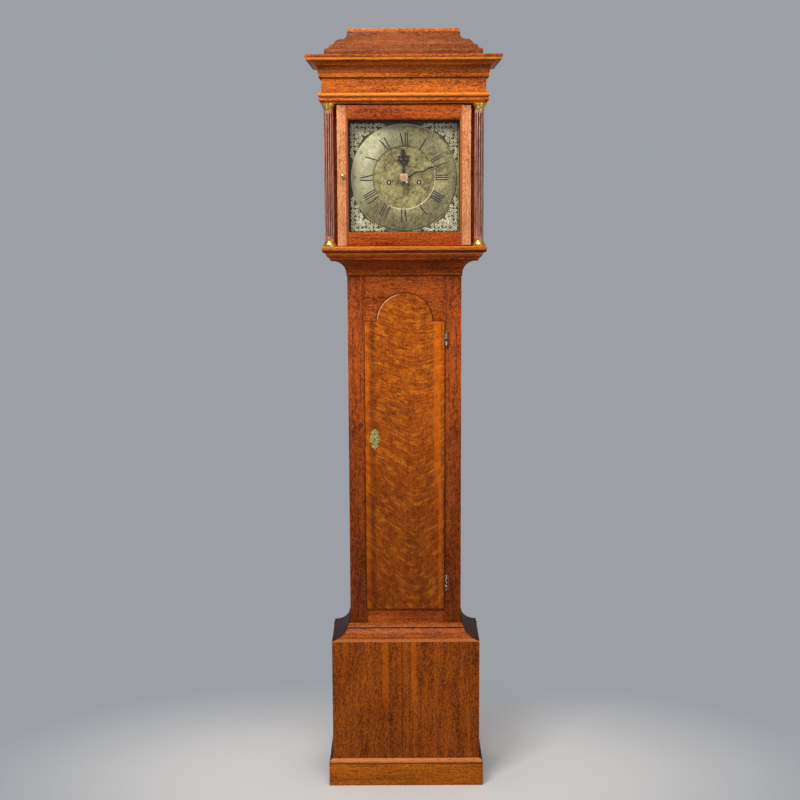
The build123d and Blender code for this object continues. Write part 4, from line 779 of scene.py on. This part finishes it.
def piece(name, solids, body, material, slot, *replaced, smooth=38):
    """Join solids into one named piece that moves with a body."""
    whole = bmesh.new()
    whole.verts.layers.float_vector.new("grain")
    for solid in solids:
        step = meshed("step", solid)
        whole.from_mesh(step)
        bpy.data.meshes.remove(step)
    mesh = meshed(name, whole)
    mesh.polygons.foreach_set("use_smooth", [True] * len(mesh.polygons))
    mesh.set_sharp_from_angle(angle=math.radians(smooth))
    mesh.materials.append(material)
    made = added(name, mesh)
    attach(made, body)
    if replaced:
        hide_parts(*replaced)
    return made


def soft_node(name, node, ease, body, material, slot):
    """Construction node as a piece, with its faces joined and its edges eased in millimetres."""
    piece(name, [eased(node, ease * MM)], body, material, slot, node)


def finish_node(node, material):
    """Give a construction node its material."""
    mesh = nodes[node].data
    if not mesh.materials:
        mesh.materials.append(material)
    for number in range(len(mesh.materials)):
        mesh.materials[number] = material


# Trunk


STILE_WIDTH = 51 * MM
DOOR_LIP = 6 * MM
LIP_ROUND = 4.5 * MM


def arch_outline(margin, half, low, shoulder):
    """Door outline grown by a margin, with an arch above square shoulders."""
    radius = ARCH_RADIUS + margin
    start = math.asin(margin / radius)
    points = [(-half, low), (half, low), (half, shoulder + margin)]
    for step in range(33):
        turn = start + (math.pi - 2 * start) * step / 32
        points.append((radius * math.cos(turn), shoulder + radius * math.sin(turn)))
    return points + [(-half, shoulder + margin)]


def trunk():
    crown = DOOR_HIGH.z
    shoulder = crown - ARCH_RADIUS
    inner = TRUNK_HALF - STILE_WIDTH
    stile = block((inner + 0.1 * MM, TRUNK_FRONT, BASE_TOP), (TRUNK_HALF, FRAME_BACK, TRUNK_TOP))
    piece("trunk_stiles", pair(stile, "z"), "case", oak_case, "oak", "trunk_face_frame")
    cut = arch_outline(-DOOR_LIP, inner, DOOR_LOW.z + DOOR_LIP, shoulder)
    arch = cut[3:-1]
    rail = [(-inner, shoulder - DOOR_LIP)] + arch[::-1] + [(inner, shoulder - DOOR_LIP)]
    rail += [(inner, TRUNK_TOP), (-inner, TRUNK_TOP)]
    top_rail = plate(rail, TRUNK_FRONT, FRAME_BACK)
    low_rail = block((-inner, TRUNK_FRONT, BASE_TOP), (inner, FRAME_BACK, DOOR_LOW.z + DOOR_LIP))
    rails = [grained(top_rail, "x"), grained(low_rail, "x")]
    piece("trunk_rails", rails, "case", oak_rail, "oak", "trunk_face_frame")
    side_low, side_high = low_high("trunk_sides")
    side = block((TRUNK_HALF - CASE_BOARD, side_low.y, side_low.z), (TRUNK_HALF, side_high.y, side_high.z))
    piece("trunk_side_boards", pair(side, "z"), "case", oak_case, "oak", "trunk_sides")
    throat = [(-18, 0), (2, 0), (2, 5), (40, 44, 11), (44, 44), (44, 49), (-18, 49)]
    solids = moulding(throat, TRUNK_TOP, TRUNK_HALF, TRUNK_FRONT, BACK)
    piece("throat_moulding", solids, "case", oak_throat, "oak", "throat_mouldings")
    rim = turned([(2.6, 0), (5.8, 0), (5.8, 0.3), (2.6, 0.3), (2.6, 0)], "y", PLUG_PLACE)
    piece("stile_plug_rim", [rim], "case", dark_plug, "oak")
    plug = turned([(0, 0), (3.2, 0), (3.2, 0.25), (0, 0.25)], "y", PLUG_PLACE)
    piece("stile_plug", [grained(plug, "y")], "case", oak_case, "oak")


def trunk_door():
    shoulder = DOOR_HIGH.z - ARCH_RADIUS
    half = DOOR_HIGH.x
    board = plate(arch_outline(0, half, DOOR_LOW.z, shoulder), DOOR_LOW.y, TRUNK_FRONT, 0)
    rim = [e for e in board.edges if all(abs(v.co.y - DOOR_LOW.y) < 1e-6 for v in e.verts)]
    bmesh.ops.bevel(board, geom=rim, offset=LIP_ROUND, offset_type="OFFSET", segments=5,
                    profile=0.5, affect="EDGES", material=-1)
    margin = DOOR_LIP + 1.5 * MM
    tongue = arch_outline(-margin, half - margin, DOOR_LOW.z + margin, shoulder)
    back = plate(tongue, TRUNK_FRONT, DOOR_HIGH.y)
    solids = [grained(board, "z"), grained(back, "z")]
    piece("trunk_door_board", solids, "trunk_door", oak_door, "oak", "trunk_door")


# Base


def base():
    low, high = BASE_LOW, BASE_HIGH
    left = block((low.x, low.y, 0), (BASE_JOINT - BASE_JOINT_GAP, high.y, high.z), BOARD_EASE)
    right = block((BASE_JOINT + BASE_JOINT_GAP, low.y, 0), (high.x, high.y, high.z), BOARD_EASE)
    boards = [grained(left, "z"), grained(right, "z")]
    piece("base_front", boards, "case", oak_base, "oak", "base_front_boards")
    side_low, side_high = low_high("base_sides")
    side = block((BASE_HALF - CASE_BOARD, side_low.y, 0), (BASE_HALF, side_high.y, side_high.z))
    piece("base_side_boards", pair(side, "z"), "case", oak_shaded_return, "oak", "base_sides")
    profile = [(0, 0), (52, 0), (52, 3), (8, 28, 8), (7, 28), (7, 35, -2), (5, 35), (5, 40), (3, 42, -1)]
    front, *returns = moulding(profile + [(0, 42)], BASE_TOP, TRUNK_HALF, TRUNK_FRONT, BACK_INSIDE)
    piece("base_moulding_front", [front], "case", oak_moulding, "oak", "base_mouldings")
    piece("base_moulding_returns", returns, "case", oak_shaded_return, "oak", "base_mouldings")
    profile = [(0, 0), (11, 0), (11, 63), (8, 65), (8, 68), (3, 79, -2.5), (0, 79)]
    front, *returns = moulding(profile, 0, BASE_HALF, BASE_FRONT, BACK_INSIDE)
    piece("plinth_front", [front], "case", oak_plinth, "oak", "plinth_boards")
    piece("plinth_returns", returns, "case", oak_shaded_return, "oak", "plinth_boards")
    holes = []
    x = -BASE_HALF + 20 * MM
    while x < BASE_HALF - 12 * MM:
        size = random.choice((1.3, 1.6, 2.4))
        place = (x, BASE_FRONT, BASE_TOP - random.uniform(4, 8) * MM)
        holes.append(turned([(0, 0), (size, 0), (size, 0.12), (0, 0.12)], "y", place, 12))
        x += random.uniform(16, 40) * MM
    piece("base_nails", holes, "case", dark_plug, "oak")


# Hood


def frieze_moulding(profile, level):
    return moulding(profile, level, FRIEZE_HALF, FRIEZE_FRONT, BACK)


def hood():
    side = block((HOOD_OUTER - HOOD_BOARD, HOOD_LOW.y, HOOD_LOW.z), (HOOD_OUTER, HOOD_HIGH.y, HOOD_HIGH.z))
    piece("hood_side_boards", pair(side, "z"), "hood", oak_hood_rail, "oak", "hood_sides")
    inside = FRIEZE_FRONT + FRIEZE_BOARD
    front = block((-FRIEZE_HALF, FRIEZE_FRONT, HOOD_TOP), (FRIEZE_HALF, inside, FRIEZE_HIGH.z))
    side = block((HOOD_OUTER, inside, HOOD_TOP), (FRIEZE_HALF, BACK, FRIEZE_HIGH.z))
    boards = [grained(front, "x")] + pair(side, "y")
    piece("frieze", boards, "hood", oak_hood, "oak", "hood_frieze")
    profile = [(0, 0), (2, 0), (2, 4), (7, 11, -2), (7, 15), (5, 15), (5, 17), (4, 17), (4, 29, -6)]
    solids = frieze_moulding(profile + [(0, 29)], HOOD_TOP)
    piece("architrave", solids, "hood", oak_hood, "oak", "hood_architrave")
    profile = [(0, 0), (7, 0), (7, 11), (9, 13), (31, 40, 8), (34, 40), (39, 49, -2), (39, 51), (41, 51)]
    solids = frieze_moulding(profile + [(41, 58), (0, 58)], low_high("hood_cornice")[0].z)
    piece("cornice", solids, "hood", oak_hood, "oak", "hood_cornice")
    caddy_low, caddy_high = low_high("caddy_mouldings")
    lower = [(-42, 0), (-8, 0), (-8, 12), (-15, 20, -2), (-22, 28, 2), (-22, 30), (-42, 30)]
    upper = [(-50, 30), (-29, 30), (-29, 32), (-33, 34), (-46, 47, -1.5), (-67.5, 60, 5)]
    upper += [(-67.5, 68), (-83.5, 68)]
    tiers = frieze_moulding(lower, caddy_low.z) + frieze_moulding(upper, caddy_low.z)
    piece("caddy", tiers, "hood", oak_caddy, "oak", "caddy_mouldings")
    roof_low, roof_high = low_high("hood_roof_boards")
    half = CADDY_TOP_HALF
    low = (-half, FRIEZE_FRONT + FRIEZE_HALF - half, caddy_high.z)
    top = block(low, (half, BACK, roof_high.z), 1.2 * MM)
    flat = block((-FRIEZE_HALF, FRIEZE_FRONT, roof_low.z), (FRIEZE_HALF, BACK, caddy_low.z))
    piece("caddy_top", [grained(top, "x"), grained(flat, "x")], "hood", oak_hood, "oak", "hood_roof_boards")
    inner = (TRUNK_HALF - HOOD_OUTER) / MM + 2
    profile = [(inner, 0), (4, 0), (4, 5), (12, 15, -2.5), (14, 15), (14, 18), (23, 27, -2.5), (23, 31)]
    profile += [(21, 36, -1), (inner, HOOD_BASE_HEIGHT)]
    level = low_high("hood_base_mouldings")[0].z
    solids = moulding(profile, level, HOOD_OUTER, HOOD_FRONT + 0.5 * MM, BACK)
    piece("hood_base_moulding", solids, "hood", oak_hood_base, "oak", "hood_base_mouldings")
    finish_node("dial_mask", dark_plug)
    columns()


CAPITAL = [(0, 0), (0, 18), (19, 18), (19, 15.5), (16.5, 12, 1), (14.4, 8, 1), (14.6, 6, -1), (13.2, 4)]
CAPITAL += [(13.2, 0), (0, 0)]
COLUMN_BASE = [(0, 0), (0, 19), (13.2, 19), (13.2, 15), (14.4, 13, -0.8), (13.6, 11, 0.6), (15.5, 8, 0.6)]
COLUMN_BASE += [(17.5, 5), (19, 4), (19, 0), (0, 0)]
CAPITAL_WIDE = 19 * MM
CAPITAL_HEIGHT = 18 * MM


def columns():
    low, high = low_high("column_brasses")
    column = eased("hood_columns", 0.35 * MM)
    piece("fluted_columns", [grained(column, "z")], "hood", dark_wood, "mahogany", "hood_columns")
    x = high.x - CAPITAL_WIDE
    y = (low.y + high.y) / 2
    cap = turned(CAPITAL, "z", (x, y, HOOD_TOP - CAPITAL_HEIGHT))
    foot = turned(COLUMN_BASE, "z", (x, y, HOOD_FLOOR))
    solids = [cap, mirrored(cap), foot, mirrored(foot)]
    piece("column_mounts", solids, "hood", bright_brass, "cast_brass", "column_brasses")


TOP_RAIL_FACE = 40 * MM
LOW_RAIL_FACE = 37 * MM
REBATE = 5 * MM
INNER_BEAD = 3 * MM


def hood_door():
    low, high = FRAME_LOW, FRAME_HIGH
    inner = high.x - STILE_FACE
    step_y = high.y - 2 * REBATE
    plan = [(high.x, low.y), (high.x, high.y), (inner + REBATE, high.y), (inner + REBATE, step_y)]
    plan += [(inner, step_y), (inner, low.y + INNER_BEAD), (inner + INNER_BEAD, low.y)]
    stile = run([(x, y, low.z) for x, y in plan], lambda co: (co.x, co.y, high.z), BOARD_EASE)
    piece("hood_door_stiles", pair(stile, "z"), "hood_door", oak_hood_stile, "oak", "hood_door_frame")
    rails = []
    for outer, edge, sign in ((low.z, low.z + LOW_RAIL_FACE, 1), (high.z, high.z - TOP_RAIL_FACE, -1)):
        section = [(low.y, outer), (high.y, outer), (high.y, edge - sign * REBATE)]
        section += [(step_y, edge - sign * REBATE), (step_y, edge), (low.y + INNER_BEAD, edge)]
        section += [(low.y, edge - sign * INNER_BEAD)]
        reach = inner + 0.6 * MM
        rail = run([(-reach, y, z) for y, z in section], lambda co: (-co.x, co.y, co.z), 0.6 * MM)
        rails.append(grained(rail, "x"))
    piece("hood_door_rails", rails, "hood_door", oak_hood_rail, "oak", "hood_door_frame")
    finish_node("hood_door_glass", pane)
    finish_node("hood_door_pivots", iron)
    knob_low, knob_high = low_high("hood_door_knob")
    middle = (knob_low + knob_high) / 2
    profile = [(0, 14), (3.5, 13.2, -0.6), (5.9, 8.4, -1), (4.6, 4.4, -1), (2.6, 2.6, 0.6), (3.4, 1.6)]
    profile += [(5, 1.2), (5, 0), (0, 0)]
    knob = turned(profile[::-1], "y", (middle.x, knob_high.y, middle.z))
    piece("hood_knob", [knob], "hood_door", bright_brass, "cast_brass", "hood_door_knob")


# Dial


NUMERALS = ["XII", "I", "II", "III", "IIII", "V", "VI", "VII", "VIII", "IX", "X", "XI"]
NUMERAL_FOOT = 86 * MM
NUMERAL_HEIGHT = 34.5 * MM
SERIF = 0.6 * MM
FIGURE_SIZE = 10 * MM
HALF_HOUR_MARK = (112 * MM, 120 * MM)
HALF_HOUR_WIDTH = 1.2 * MM
THICK = 3.2 * MM
THIN = 0.9 * MM
STROKE_STEP = 6.1 * MM
LETTER_HALF = {"I": 0, "V": 5.2 * MM, "X": 5.6 * MM}
MINUTE_FIGURES = 134.5 * MM
INLAY = 0.12 * MM


def stroke(start, end, width):
    """Flat bar between two places across and out from the middle of the dial."""
    solid = bmesh.new()
    bmesh.ops.create_cube(solid, size=1)
    along = Vector(end) - Vector(start)
    turn = Matrix.Rotation(math.atan2(-along.x, along.y), 4, "Z")
    shape = turn @ Matrix.Diagonal((width, along.length, INLAY, 1))
    middle = (Vector(start) + Vector(end)) / 2
    return placed(solid, Matrix.Translation((*middle, 0)) @ shape)


def letter(kind, x):
    """Strokes of one Roman letter that stands at x; numeral() adds its end bars."""
    foot, head = NUMERAL_FOOT, NUMERAL_FOOT + NUMERAL_HEIGHT
    if kind == "I":
        return [stroke((x, foot), (x, head), THICK)]
    half = LETTER_HALF[kind]
    if kind == "V":
        return [stroke((x - half + THICK / 2, head), (x + 0.4 * MM, foot), THICK),
                stroke((x + half, head), (x + 0.4 * MM, foot), THIN)]
    return [stroke((x - half + THICK / 2, head), (x + half - THICK / 2, foot), THICK),
            stroke((x + half, head), (x - half, foot), THIN)]


def numeral(text):
    """One chapter, centred across, with serifs joined along its foot and head."""
    widths = [2 * LETTER_HALF[kind] + (THICK if kind == "I" else 0) for kind in text]
    gap = STROKE_STEP - THICK
    total = sum(widths) + gap * (len(text) - 1)
    x = -total / 2
    solids = []
    for kind, width in zip(text, widths):
        solids += letter(kind, x + width / 2)
        if kind == "I":
            for level in (NUMERAL_FOOT, NUMERAL_FOOT + NUMERAL_HEIGHT):
                reach = THICK * 0.82
                bar = stroke((x + width / 2 - reach, level), (x + width / 2 + reach, level), SERIF)
                solids.append(bar)
        x += width + gap
    return solids


def minute_figure(text):
    """Small figure near the rim of the chapter ring, drawn with its foot inward."""
    words = bpy.data.curves.new("figure", "FONT")
    words.body = text
    words.size = FIGURE_SIZE
    words.align_x = "CENTER"
    words.align_y = "CENTER"
    words.extrude = INLAY / 2
    solid = from_curve(words)
    bmesh.ops.translate(solid, verts=solid.verts, vec=(0, MINUTE_FIGURES, 0))
    return solid


def dial():
    finish_node("dial_plate", centre_finish)
    soft_node("chapter_ring_brass", "chapter_ring", 0.3, "case", ring_finish, "dial_brass")
    centre = (0, RING_FRONT, DIAL_MIDDLE)
    chapters, figures = [], []
    for hour, text in enumerate(NUMERALS):
        for solid in numeral(text):
            chapters.append(upright(solid, centre, 30 * hour))
        figures.append(upright(minute_figure(str(5 * hour or 60)), centre, 30 * hour))
        half_hour = stroke((0, HALF_HOUR_MARK[0]), (0, HALF_HOUR_MARK[1]), HALF_HOUR_WIDTH)
        chapters.append(upright(half_hour, centre, 30 * hour + 15))
    piece("chapters", chapters, "case", black_wax, "dial_brass")
    piece("minute_figures", figures, "case", black_wax, "dial_brass")
    # Black tubes in the winding holes: a dark piece put there to stand for the shade inside the holes.
    shade_tubes = []
    half = WINDING_SQUARE
    profile = [(3.5, 0), (6.25, 0), (6.25, 11.8), (5.9, 11.8), (5.9, 1), (3.5, 1), (3.5, 0)]
    for node in ("going_barrel", "strike_barrel"):
        low, high = low_high(node)
        x, z = (low.x + high.x) / 2, DIAL_MIDDLE - BARREL_DROP
        shade_tubes.append(turned(profile, "y", (x, DIAL_FRONT + WINDING_HOLE_DEPTH, z)))
        end_low = (x - half, low.y - 0.2 * MM, z - half)
        end = block(end_low, (x + half, low.y + WINDING_SQUARE_LENGTH, z + half), 0.5 * MM)
        piece(node + "_square", [end], node, glint_white_steel, "steel")
    piece("winding_hole_shade_tubes", shade_tubes, "case", dark_plug, "dial_brass")
    corner_pieces()


SPANDREL_REACH = 106 * MM
GROUND_SHARE = 0.35
SCROLL_STEPS = 26
SCROLL_SWEEP = 470
SCROLL_END = 0.78


def scroll(along, inward, radius, start, sweep, wire):
    """Spiral wire that winds into its middle."""
    points = []
    for step in range(SCROLL_STEPS + 1):
        share = step / SCROLL_STEPS
        turn = math.radians(start + sweep * share)
        reach = radius * (1 - SCROLL_END * share)
        points.append(((along + reach * math.cos(turn)) * MM, (inward + reach * math.sin(turn)) * MM, 0))
    return tube(points, wire * MM, 0.55)


def scroll_places(edge, reach):
    """Rows of scrolls between the edge of a corner piece and the chapter ring, in millimetres."""
    places = []
    along = 5.5
    while along < reach - 3:
        across = edge - along
        ring = RING_OUTER / MM + 2
        depth = edge - math.sqrt(max(0, ring ** 2 - across ** 2))
        radius = max(2.0, min(5.2, depth / 2 - 0.4))
        inward = radius + 0.4
        while inward + radius * 0.6 < min(depth, along + radius):
            places.append((along, inward, radius))
            inward += 2.15 * radius
        along += 2.0 * radius
    return places


LEAF_SHAPE = Matrix.Diagonal((1.5, 0.5, 0.4, 1))


def bead(radius, matrix):
    solid = bmesh.new()
    bmesh.ops.create_uvsphere(solid, u_segments=8, v_segments=6, radius=radius * MM)
    return placed(solid, matrix)


def corner_pieces():
    """Cast scrollwork in the four corners, kept clear of the chapter ring."""
    edge = low_high("spandrels")[1].x
    reach = (edge - DIAL_HALF + SPANDREL_REACH) / MM
    ground = eased("spandrels", 0.3 * MM)
    space = Matrix.Translation((0, -DIAL_FRONT, 0))
    bmesh.ops.scale(ground, vec=(1, GROUND_SHARE, 1), space=space, verts=ground.verts)
    # Painted shade: the dark ground stands for the shade between the scrolls.
    piece("corner_grounds", [ground], "case", shaded_ground_brass, "cast_brass", "spandrels")
    work = []
    for along, inward, radius in scroll_places(edge / MM, reach):
        turn = random.choice((-1, 1))
        wire = 0.55 + radius * 0.13
        made = [scroll(along, inward, radius, random.uniform(0, 360), turn * SCROLL_SWEEP, wire)]
        middle = Vector((along, inward, 0)) * MM
        made.append(bead(wire * 1.3, Matrix.Translation(middle)))
        for side in (-1, 1):
            angle = random.uniform(0, FULL_TURN)
            shape = Matrix.Rotation(angle, 4, "Z") @ LEAF_SHAPE
            out = Vector((1.05 * math.cos(angle), math.sin(angle), 0)) * side * radius * MM
            made.append(bead(radius * 0.42, Matrix.Translation(middle + out) @ shape))
        for solid in made:
            work.append(solid)
            if abs(along - inward) > 1:
                other = solid.copy()
                bmesh.ops.rotate(other, verts=other.verts, cent=(0, 0, 0),
                                 matrix=Matrix(((0, 1, 0), (1, 0, 0), (0, 0, 1))))
                bmesh.ops.reverse_faces(other, faces=other.faces)
                work.append(other)
    least = RING_OUTER + 1.2 * MM
    solids = []
    for across in (-1, 1):
        for up in (-1, 1):
            for made in work:
                solid = made.copy()
                for vert in solid.verts:
                    x = max(0, edge - vert.co.x)
                    z = max(0, edge - vert.co.y)
                    out = math.hypot(x, z)
                    if out < least:
                        x, z = x * least / out, z * least / out
                    depth = max(0, vert.co.z) + 1.0 * MM
                    vert.co = (across * min(x, edge), DIAL_FRONT - depth, DIAL_MIDDLE + up * min(z, edge))
                bmesh.ops.recalc_face_normals(solid, faces=solid.faces)
                solids.append(solid)
    for made in work:
        made.free()
    piece("corner_scrolls", solids, "case", cast_brass, "cast_brass", smooth=60)


# Hands


HOUR_ANGLE = -1.5
MINUTE_ANGLE = 70.8
HAND_THICKNESS = 1 * MM
PIN_RIGHT = 7.5 * MM
PIN_DROP = 12.5 * MM


def sides(half_outline):
    """Closed outline from its right half, drawn from the foot to the tip."""
    return half_outline + [(-x, y) for x, y in reversed(half_outline) if x > 1e-9]


def hands():
    low, high = low_high("hour_hand")
    right = [(3, -5), (6.4, 0), (5, 6), (1.5, 10), (1.5, 15), (4.6, 18), (4.8, 22), (1.6, 25), (1.5, 31)]
    right += [(4.5, 35), (6.6, 39), (11, 42.5), (16.8, 46), (13, 52), (16.8, 58), (10, 59), (6, 58.5)]
    right += [(3, 60.5), (6, 63), (6, 67), (3, 69.5), (6, 72), (4, 75.5), (1.6, 74.5), (0, 80)]
    outlines = [sides(right), circle(0, 20, 2.6), circle(0, 41.4, 3.2), circle(-6.8, 51.8, 4)]
    outlines += [circle(6.8, 51.8, 4), circle(0, 65, 2.8), circle(0, 0, 3.05)]
    place = (0, (low.y + high.y) / 2, DIAL_MIDDLE)
    hour = upright(fretted(outlines, HAND_THICKNESS), place, HOUR_ANGLE)
    piece("hour_hand_blued", [hour], "hour_pipe", blued, "blued_steel", "hour_hand")
    low, high = low_high("minute_hand")
    middle, width = [], []
    for step in range(61):
        share = step / 60
        wave = 2.6 * math.sin(share * 6.2 * math.pi) * (1 - share) if share < 0.62 else 0
        middle.append((wave, 5 + 128 * share))
        swell = 1.5 + 1.5 * math.exp(-((share - 0.57) / 0.05) ** 2) + 0.8 * (1 - share)
        width.append(swell * (1 - share) ** 0.35 + 0.15)
    right = [(x + w, y) for (x, y), w in zip(middle, width)]
    left = [(x - w, y) for (x, y), w in zip(middle, width)]
    blade = fretted([right + left[::-1]], HAND_THICKNESS)
    hub = fretted([circle(0, 0, 7, 24), circle(0, 0, 1.6)], HAND_THICKNESS)
    place = (0, (low.y + high.y) / 2, DIAL_MIDDLE)
    solids = [upright(blade, place, MINUTE_ANGLE), upright(hub, place, MINUTE_ANGLE)]
    piece("minute_hand_blued", solids, "centre_arbor", blued, "blued_steel", "minute_hand")
    soft_node("collet", "hand_collet", 0.5, "centre_arbor", collet_pink_reflection, "cast_brass")
    place = (PIN_RIGHT, low.y - 0.4 * MM, DIAL_MIDDLE - PIN_DROP)
    pin = turned([(0, 0), (3, 0), (3, 3), (1.9, 4.6, -0.5), (0, 5.2)], "y", place, 16)
    piece("collet_pin", [pin], "centre_arbor", glint_white_steel, "steel")


# Trunk door fittings


ESCUTCHEON_PLACE = (-85 * MM, 1009 * MM)


def escutcheon():
    """Cast plate with a leaf above, stepped lobes and a drop below, pierced for the key."""
    right = [(0, -30), (3, -26), (2.5, -23), (6.5, -24.5), (9.5, -21), (8, -16), (5, -14.5), (5.5, -11)]
    right += [(10, -10.5), (14, -7), (15.4, -1), (12, 3), (14.4, 7), (12.5, 12), (8, 12.5), (6.5, 15)]
    right += [(11.5, 17.5), (9.5, 19.5), (6.5, 20), (7, 23.5), (4.5, 24), (3.5, 26), (0, 30)]
    keyway = [(-1.3, -9), (1.3, -9), (1.3, -2.2), (2.6, 0), (1.8, 2), (0, 2.7), (-1.8, 2), (-2.6, 0)]
    outlines = [sides(right), keyway + [(-1.3, -2.2)]]
    for x, y in ((-6.2, -18.8), (6.2, -18.8), (-9.5, -4), (9.5, -4), (0, 15)):
        outlines.append(circle(x, y, 1.3, 12))
    low, high = low_high("trunk_door_escutcheon")
    fret = fretted(outlines, high.y - low.y, 0.35 * MM)
    fret = upright(fret, (ESCUTCHEON_PLACE[0], (low.y + high.y) / 2, ESCUTCHEON_PLACE[1]))
    piece("escutcheon", [fret], "trunk_door", old_brass, "cast_brass", "trunk_door_escutcheon")


def fittings():
    escutcheon()
    soft_node("hinge_plates", "trunk_hinge_plates", 0.15, "case", hinge_finish, "iron")
    soft_node("hinge_leaves", "trunk_door_hinge_leaves", 0.15, "trunk_door", hinge_finish, "iron")
    soft_node("lock_case", "trunk_door_lock", 0.8, "trunk_door", iron, "iron")


# Inside of the case


GUT_RADIUS = 0.8 * MM
GUT_STEPS = 12
BARREL_TURNS = 3
WOUND_WIDTH = 6 * MM


def coil(centre, radius, start, turns, width, steps):
    """Points round a centre in x and z, counted in turns, that drift along y over a width."""
    points = []
    for step in range(steps + 1):
        share = step / steps
        turn = FULL_TURN * (start + turns * share)
        out = Vector((radius * math.cos(turn), width * (share - 0.5), radius * math.sin(turn)))
        points.append(centre + out)
    return points


def gut_lines(train):
    """Gut from the seatboard to the pulley, under the pulley, and wound on the barrel."""
    low, high = low_high(train + "_line")
    middle = (low + high) / 2
    length = high.z - low.z
    strands = []
    for x in (low.x + GUT_RADIUS, high.x - GUT_RADIUS):
        points = [(x, middle.y, low.z + length * step / GUT_STEPS) for step in range(GUT_STEPS + 1)]
        strands.append(tube(points, GUT_RADIUS))
    gut_run = piece(train + "_gut", strands, "case", gut_cord, "gut", train + "_line")
    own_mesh(gut_run)
    pulley = Vector((middle.x, middle.y, low.z))
    points = coil(pulley, (high.x - low.x) / 2 - GUT_RADIUS, 0.5, 0.5, 0, 24)
    piece(train + "_pulley_gut", [tube(points, GUT_RADIUS)], train + "_weight", gut_cord, "gut")
    drum_low, drum_high = low_high(train + "_barrel")
    drum = Vector(((drum_low.x + drum_high.x) / 2, middle.y, DIAL_MIDDLE - BARREL_DROP))
    points = coil(drum, BARREL_WIND, 0, BARREL_TURNS, WOUND_WIDTH, 96)
    piece(train + "_barrel_gut", [tube(points, GUT_RADIUS)], train + "_barrel", gut_cord, "gut")


def inside():
    for node, direction in (("backboard", "z"), ("seatboard", "x")):
        board = grained(eased(node, 0.8 * MM), direction)
        piece(node + "_oak", [board], "case", oak_raw, "oak", node)
    for node in ("going_weight", "strike_weight"):
        soft_node(node + "_casting", node, 0.5, node, weight_iron, "iron")
    soft_node("bob_casting", "pendulum_bob", 0.3, "pendulum", old_brass, "cast_brass")
    soft_node("bell_casting", "bell", 0.3, "case", bell_finish, "bell_metal")
    for node in ("movement_frame", "going_great_wheel", "strike_great_wheel", "going_barrel",
                 "strike_barrel", "centre_wheel", "third_wheel", "escape_wheel", "hour_wheel",
                 "minute_wheel", "pin_wheel", "gathering_wheel", "warning_wheel", "fly",
                 "going_pulley", "strike_pulley"):
        finish_node(node, plate_brass)
    for node in ("anchor", "hammer", "pendulum_rod"):
        finish_node(node, bright_steel)
    finish_node("line_leads", gut_cord)
    for train in ("going", "strike"):
        gut_lines(train)


# Floor and light


WALL = srgb(156, 160, 166)
FLOOR = srgb(212, 209, 207)
FLOOR_NEAR = 0.25
FLOOR_FAR = 0.85
FLOOR_DROP = 0.3 * MM
SKY_LIGHT = 0.34


def floor():
    ground = bmesh.new()
    bmesh.ops.create_circle(ground, cap_ends=True, segments=64, radius=3)
    bmesh.ops.translate(ground, verts=ground.verts, vec=(0, 0, -FLOOR_DROP))
    made = added("floor", meshed("floor", ground))
    stone = Shader("floor")
    x, y, _ = stone.parts(stone.place())
    away = (x * x * 0.35 + y * y) ** 0.5
    fade = away.ramp(FLOOR_FAR, FLOOR_NEAR)
    made.data.materials.append(stone.finish(Base_Color=FLOOR, Roughness=0.9, Alpha=fade))


def lamp(name, place, target, width, height, power):
    light = bpy.data.lights.new(name, "AREA")
    light.shape = "RECTANGLE"
    light.size = width
    light.size_y = height
    light.energy = power
    made = added(name, light)
    aim = (Vector(target) - Vector(place)).to_track_quat("-Z", "Y")
    made.matrix_world = Matrix.Translation(place) @ aim.to_matrix().to_4x4()


def studio():
    sky = Shader("studio", bpy.data.worlds)
    bpy.context.scene.world = sky.owner
    seen = sky.node("ShaderNodeLightPath", {}, {}, "Is Camera Ray")
    through = sky.node("ShaderNodeLightPath", {}, {}, "Is Transmission Ray")
    light = sky.node("ShaderNodeBackground", {}, {"Color": (1, 1, 1, 1), "Strength": SKY_LIGHT})
    wall = sky.node("ShaderNodeBackground", {}, {"Color": WALL})
    direct = seen.maths("MAXIMUM", seen, through)
    mixed = sky.node("ShaderNodeMixShader", {}, {0: direct, 1: light, 2: wall})
    sky.tree.links.new(mixed.socket, sky.tree.nodes["World Output"].inputs[0])
    middle = (0, 0, 1.5)
    lamp("key", (-1.5, -2.7, 4.0), middle, 1.4, 1.4, 108)
    lamp("fill", (2.4, -3.2, 2.2), middle, 1.4, 1.8, 19)
    lamp("top", (0.1, -1.5, 4.6), (0, 0, 0.6), 1.4, 1.0, 62)
    bpy.context.scene.view_settings.view_transform = "Standard"


trunk()
trunk_door()
base()
hood()
hood_door()
dial()
hands()
fittings()
inside()
floor()
studio()
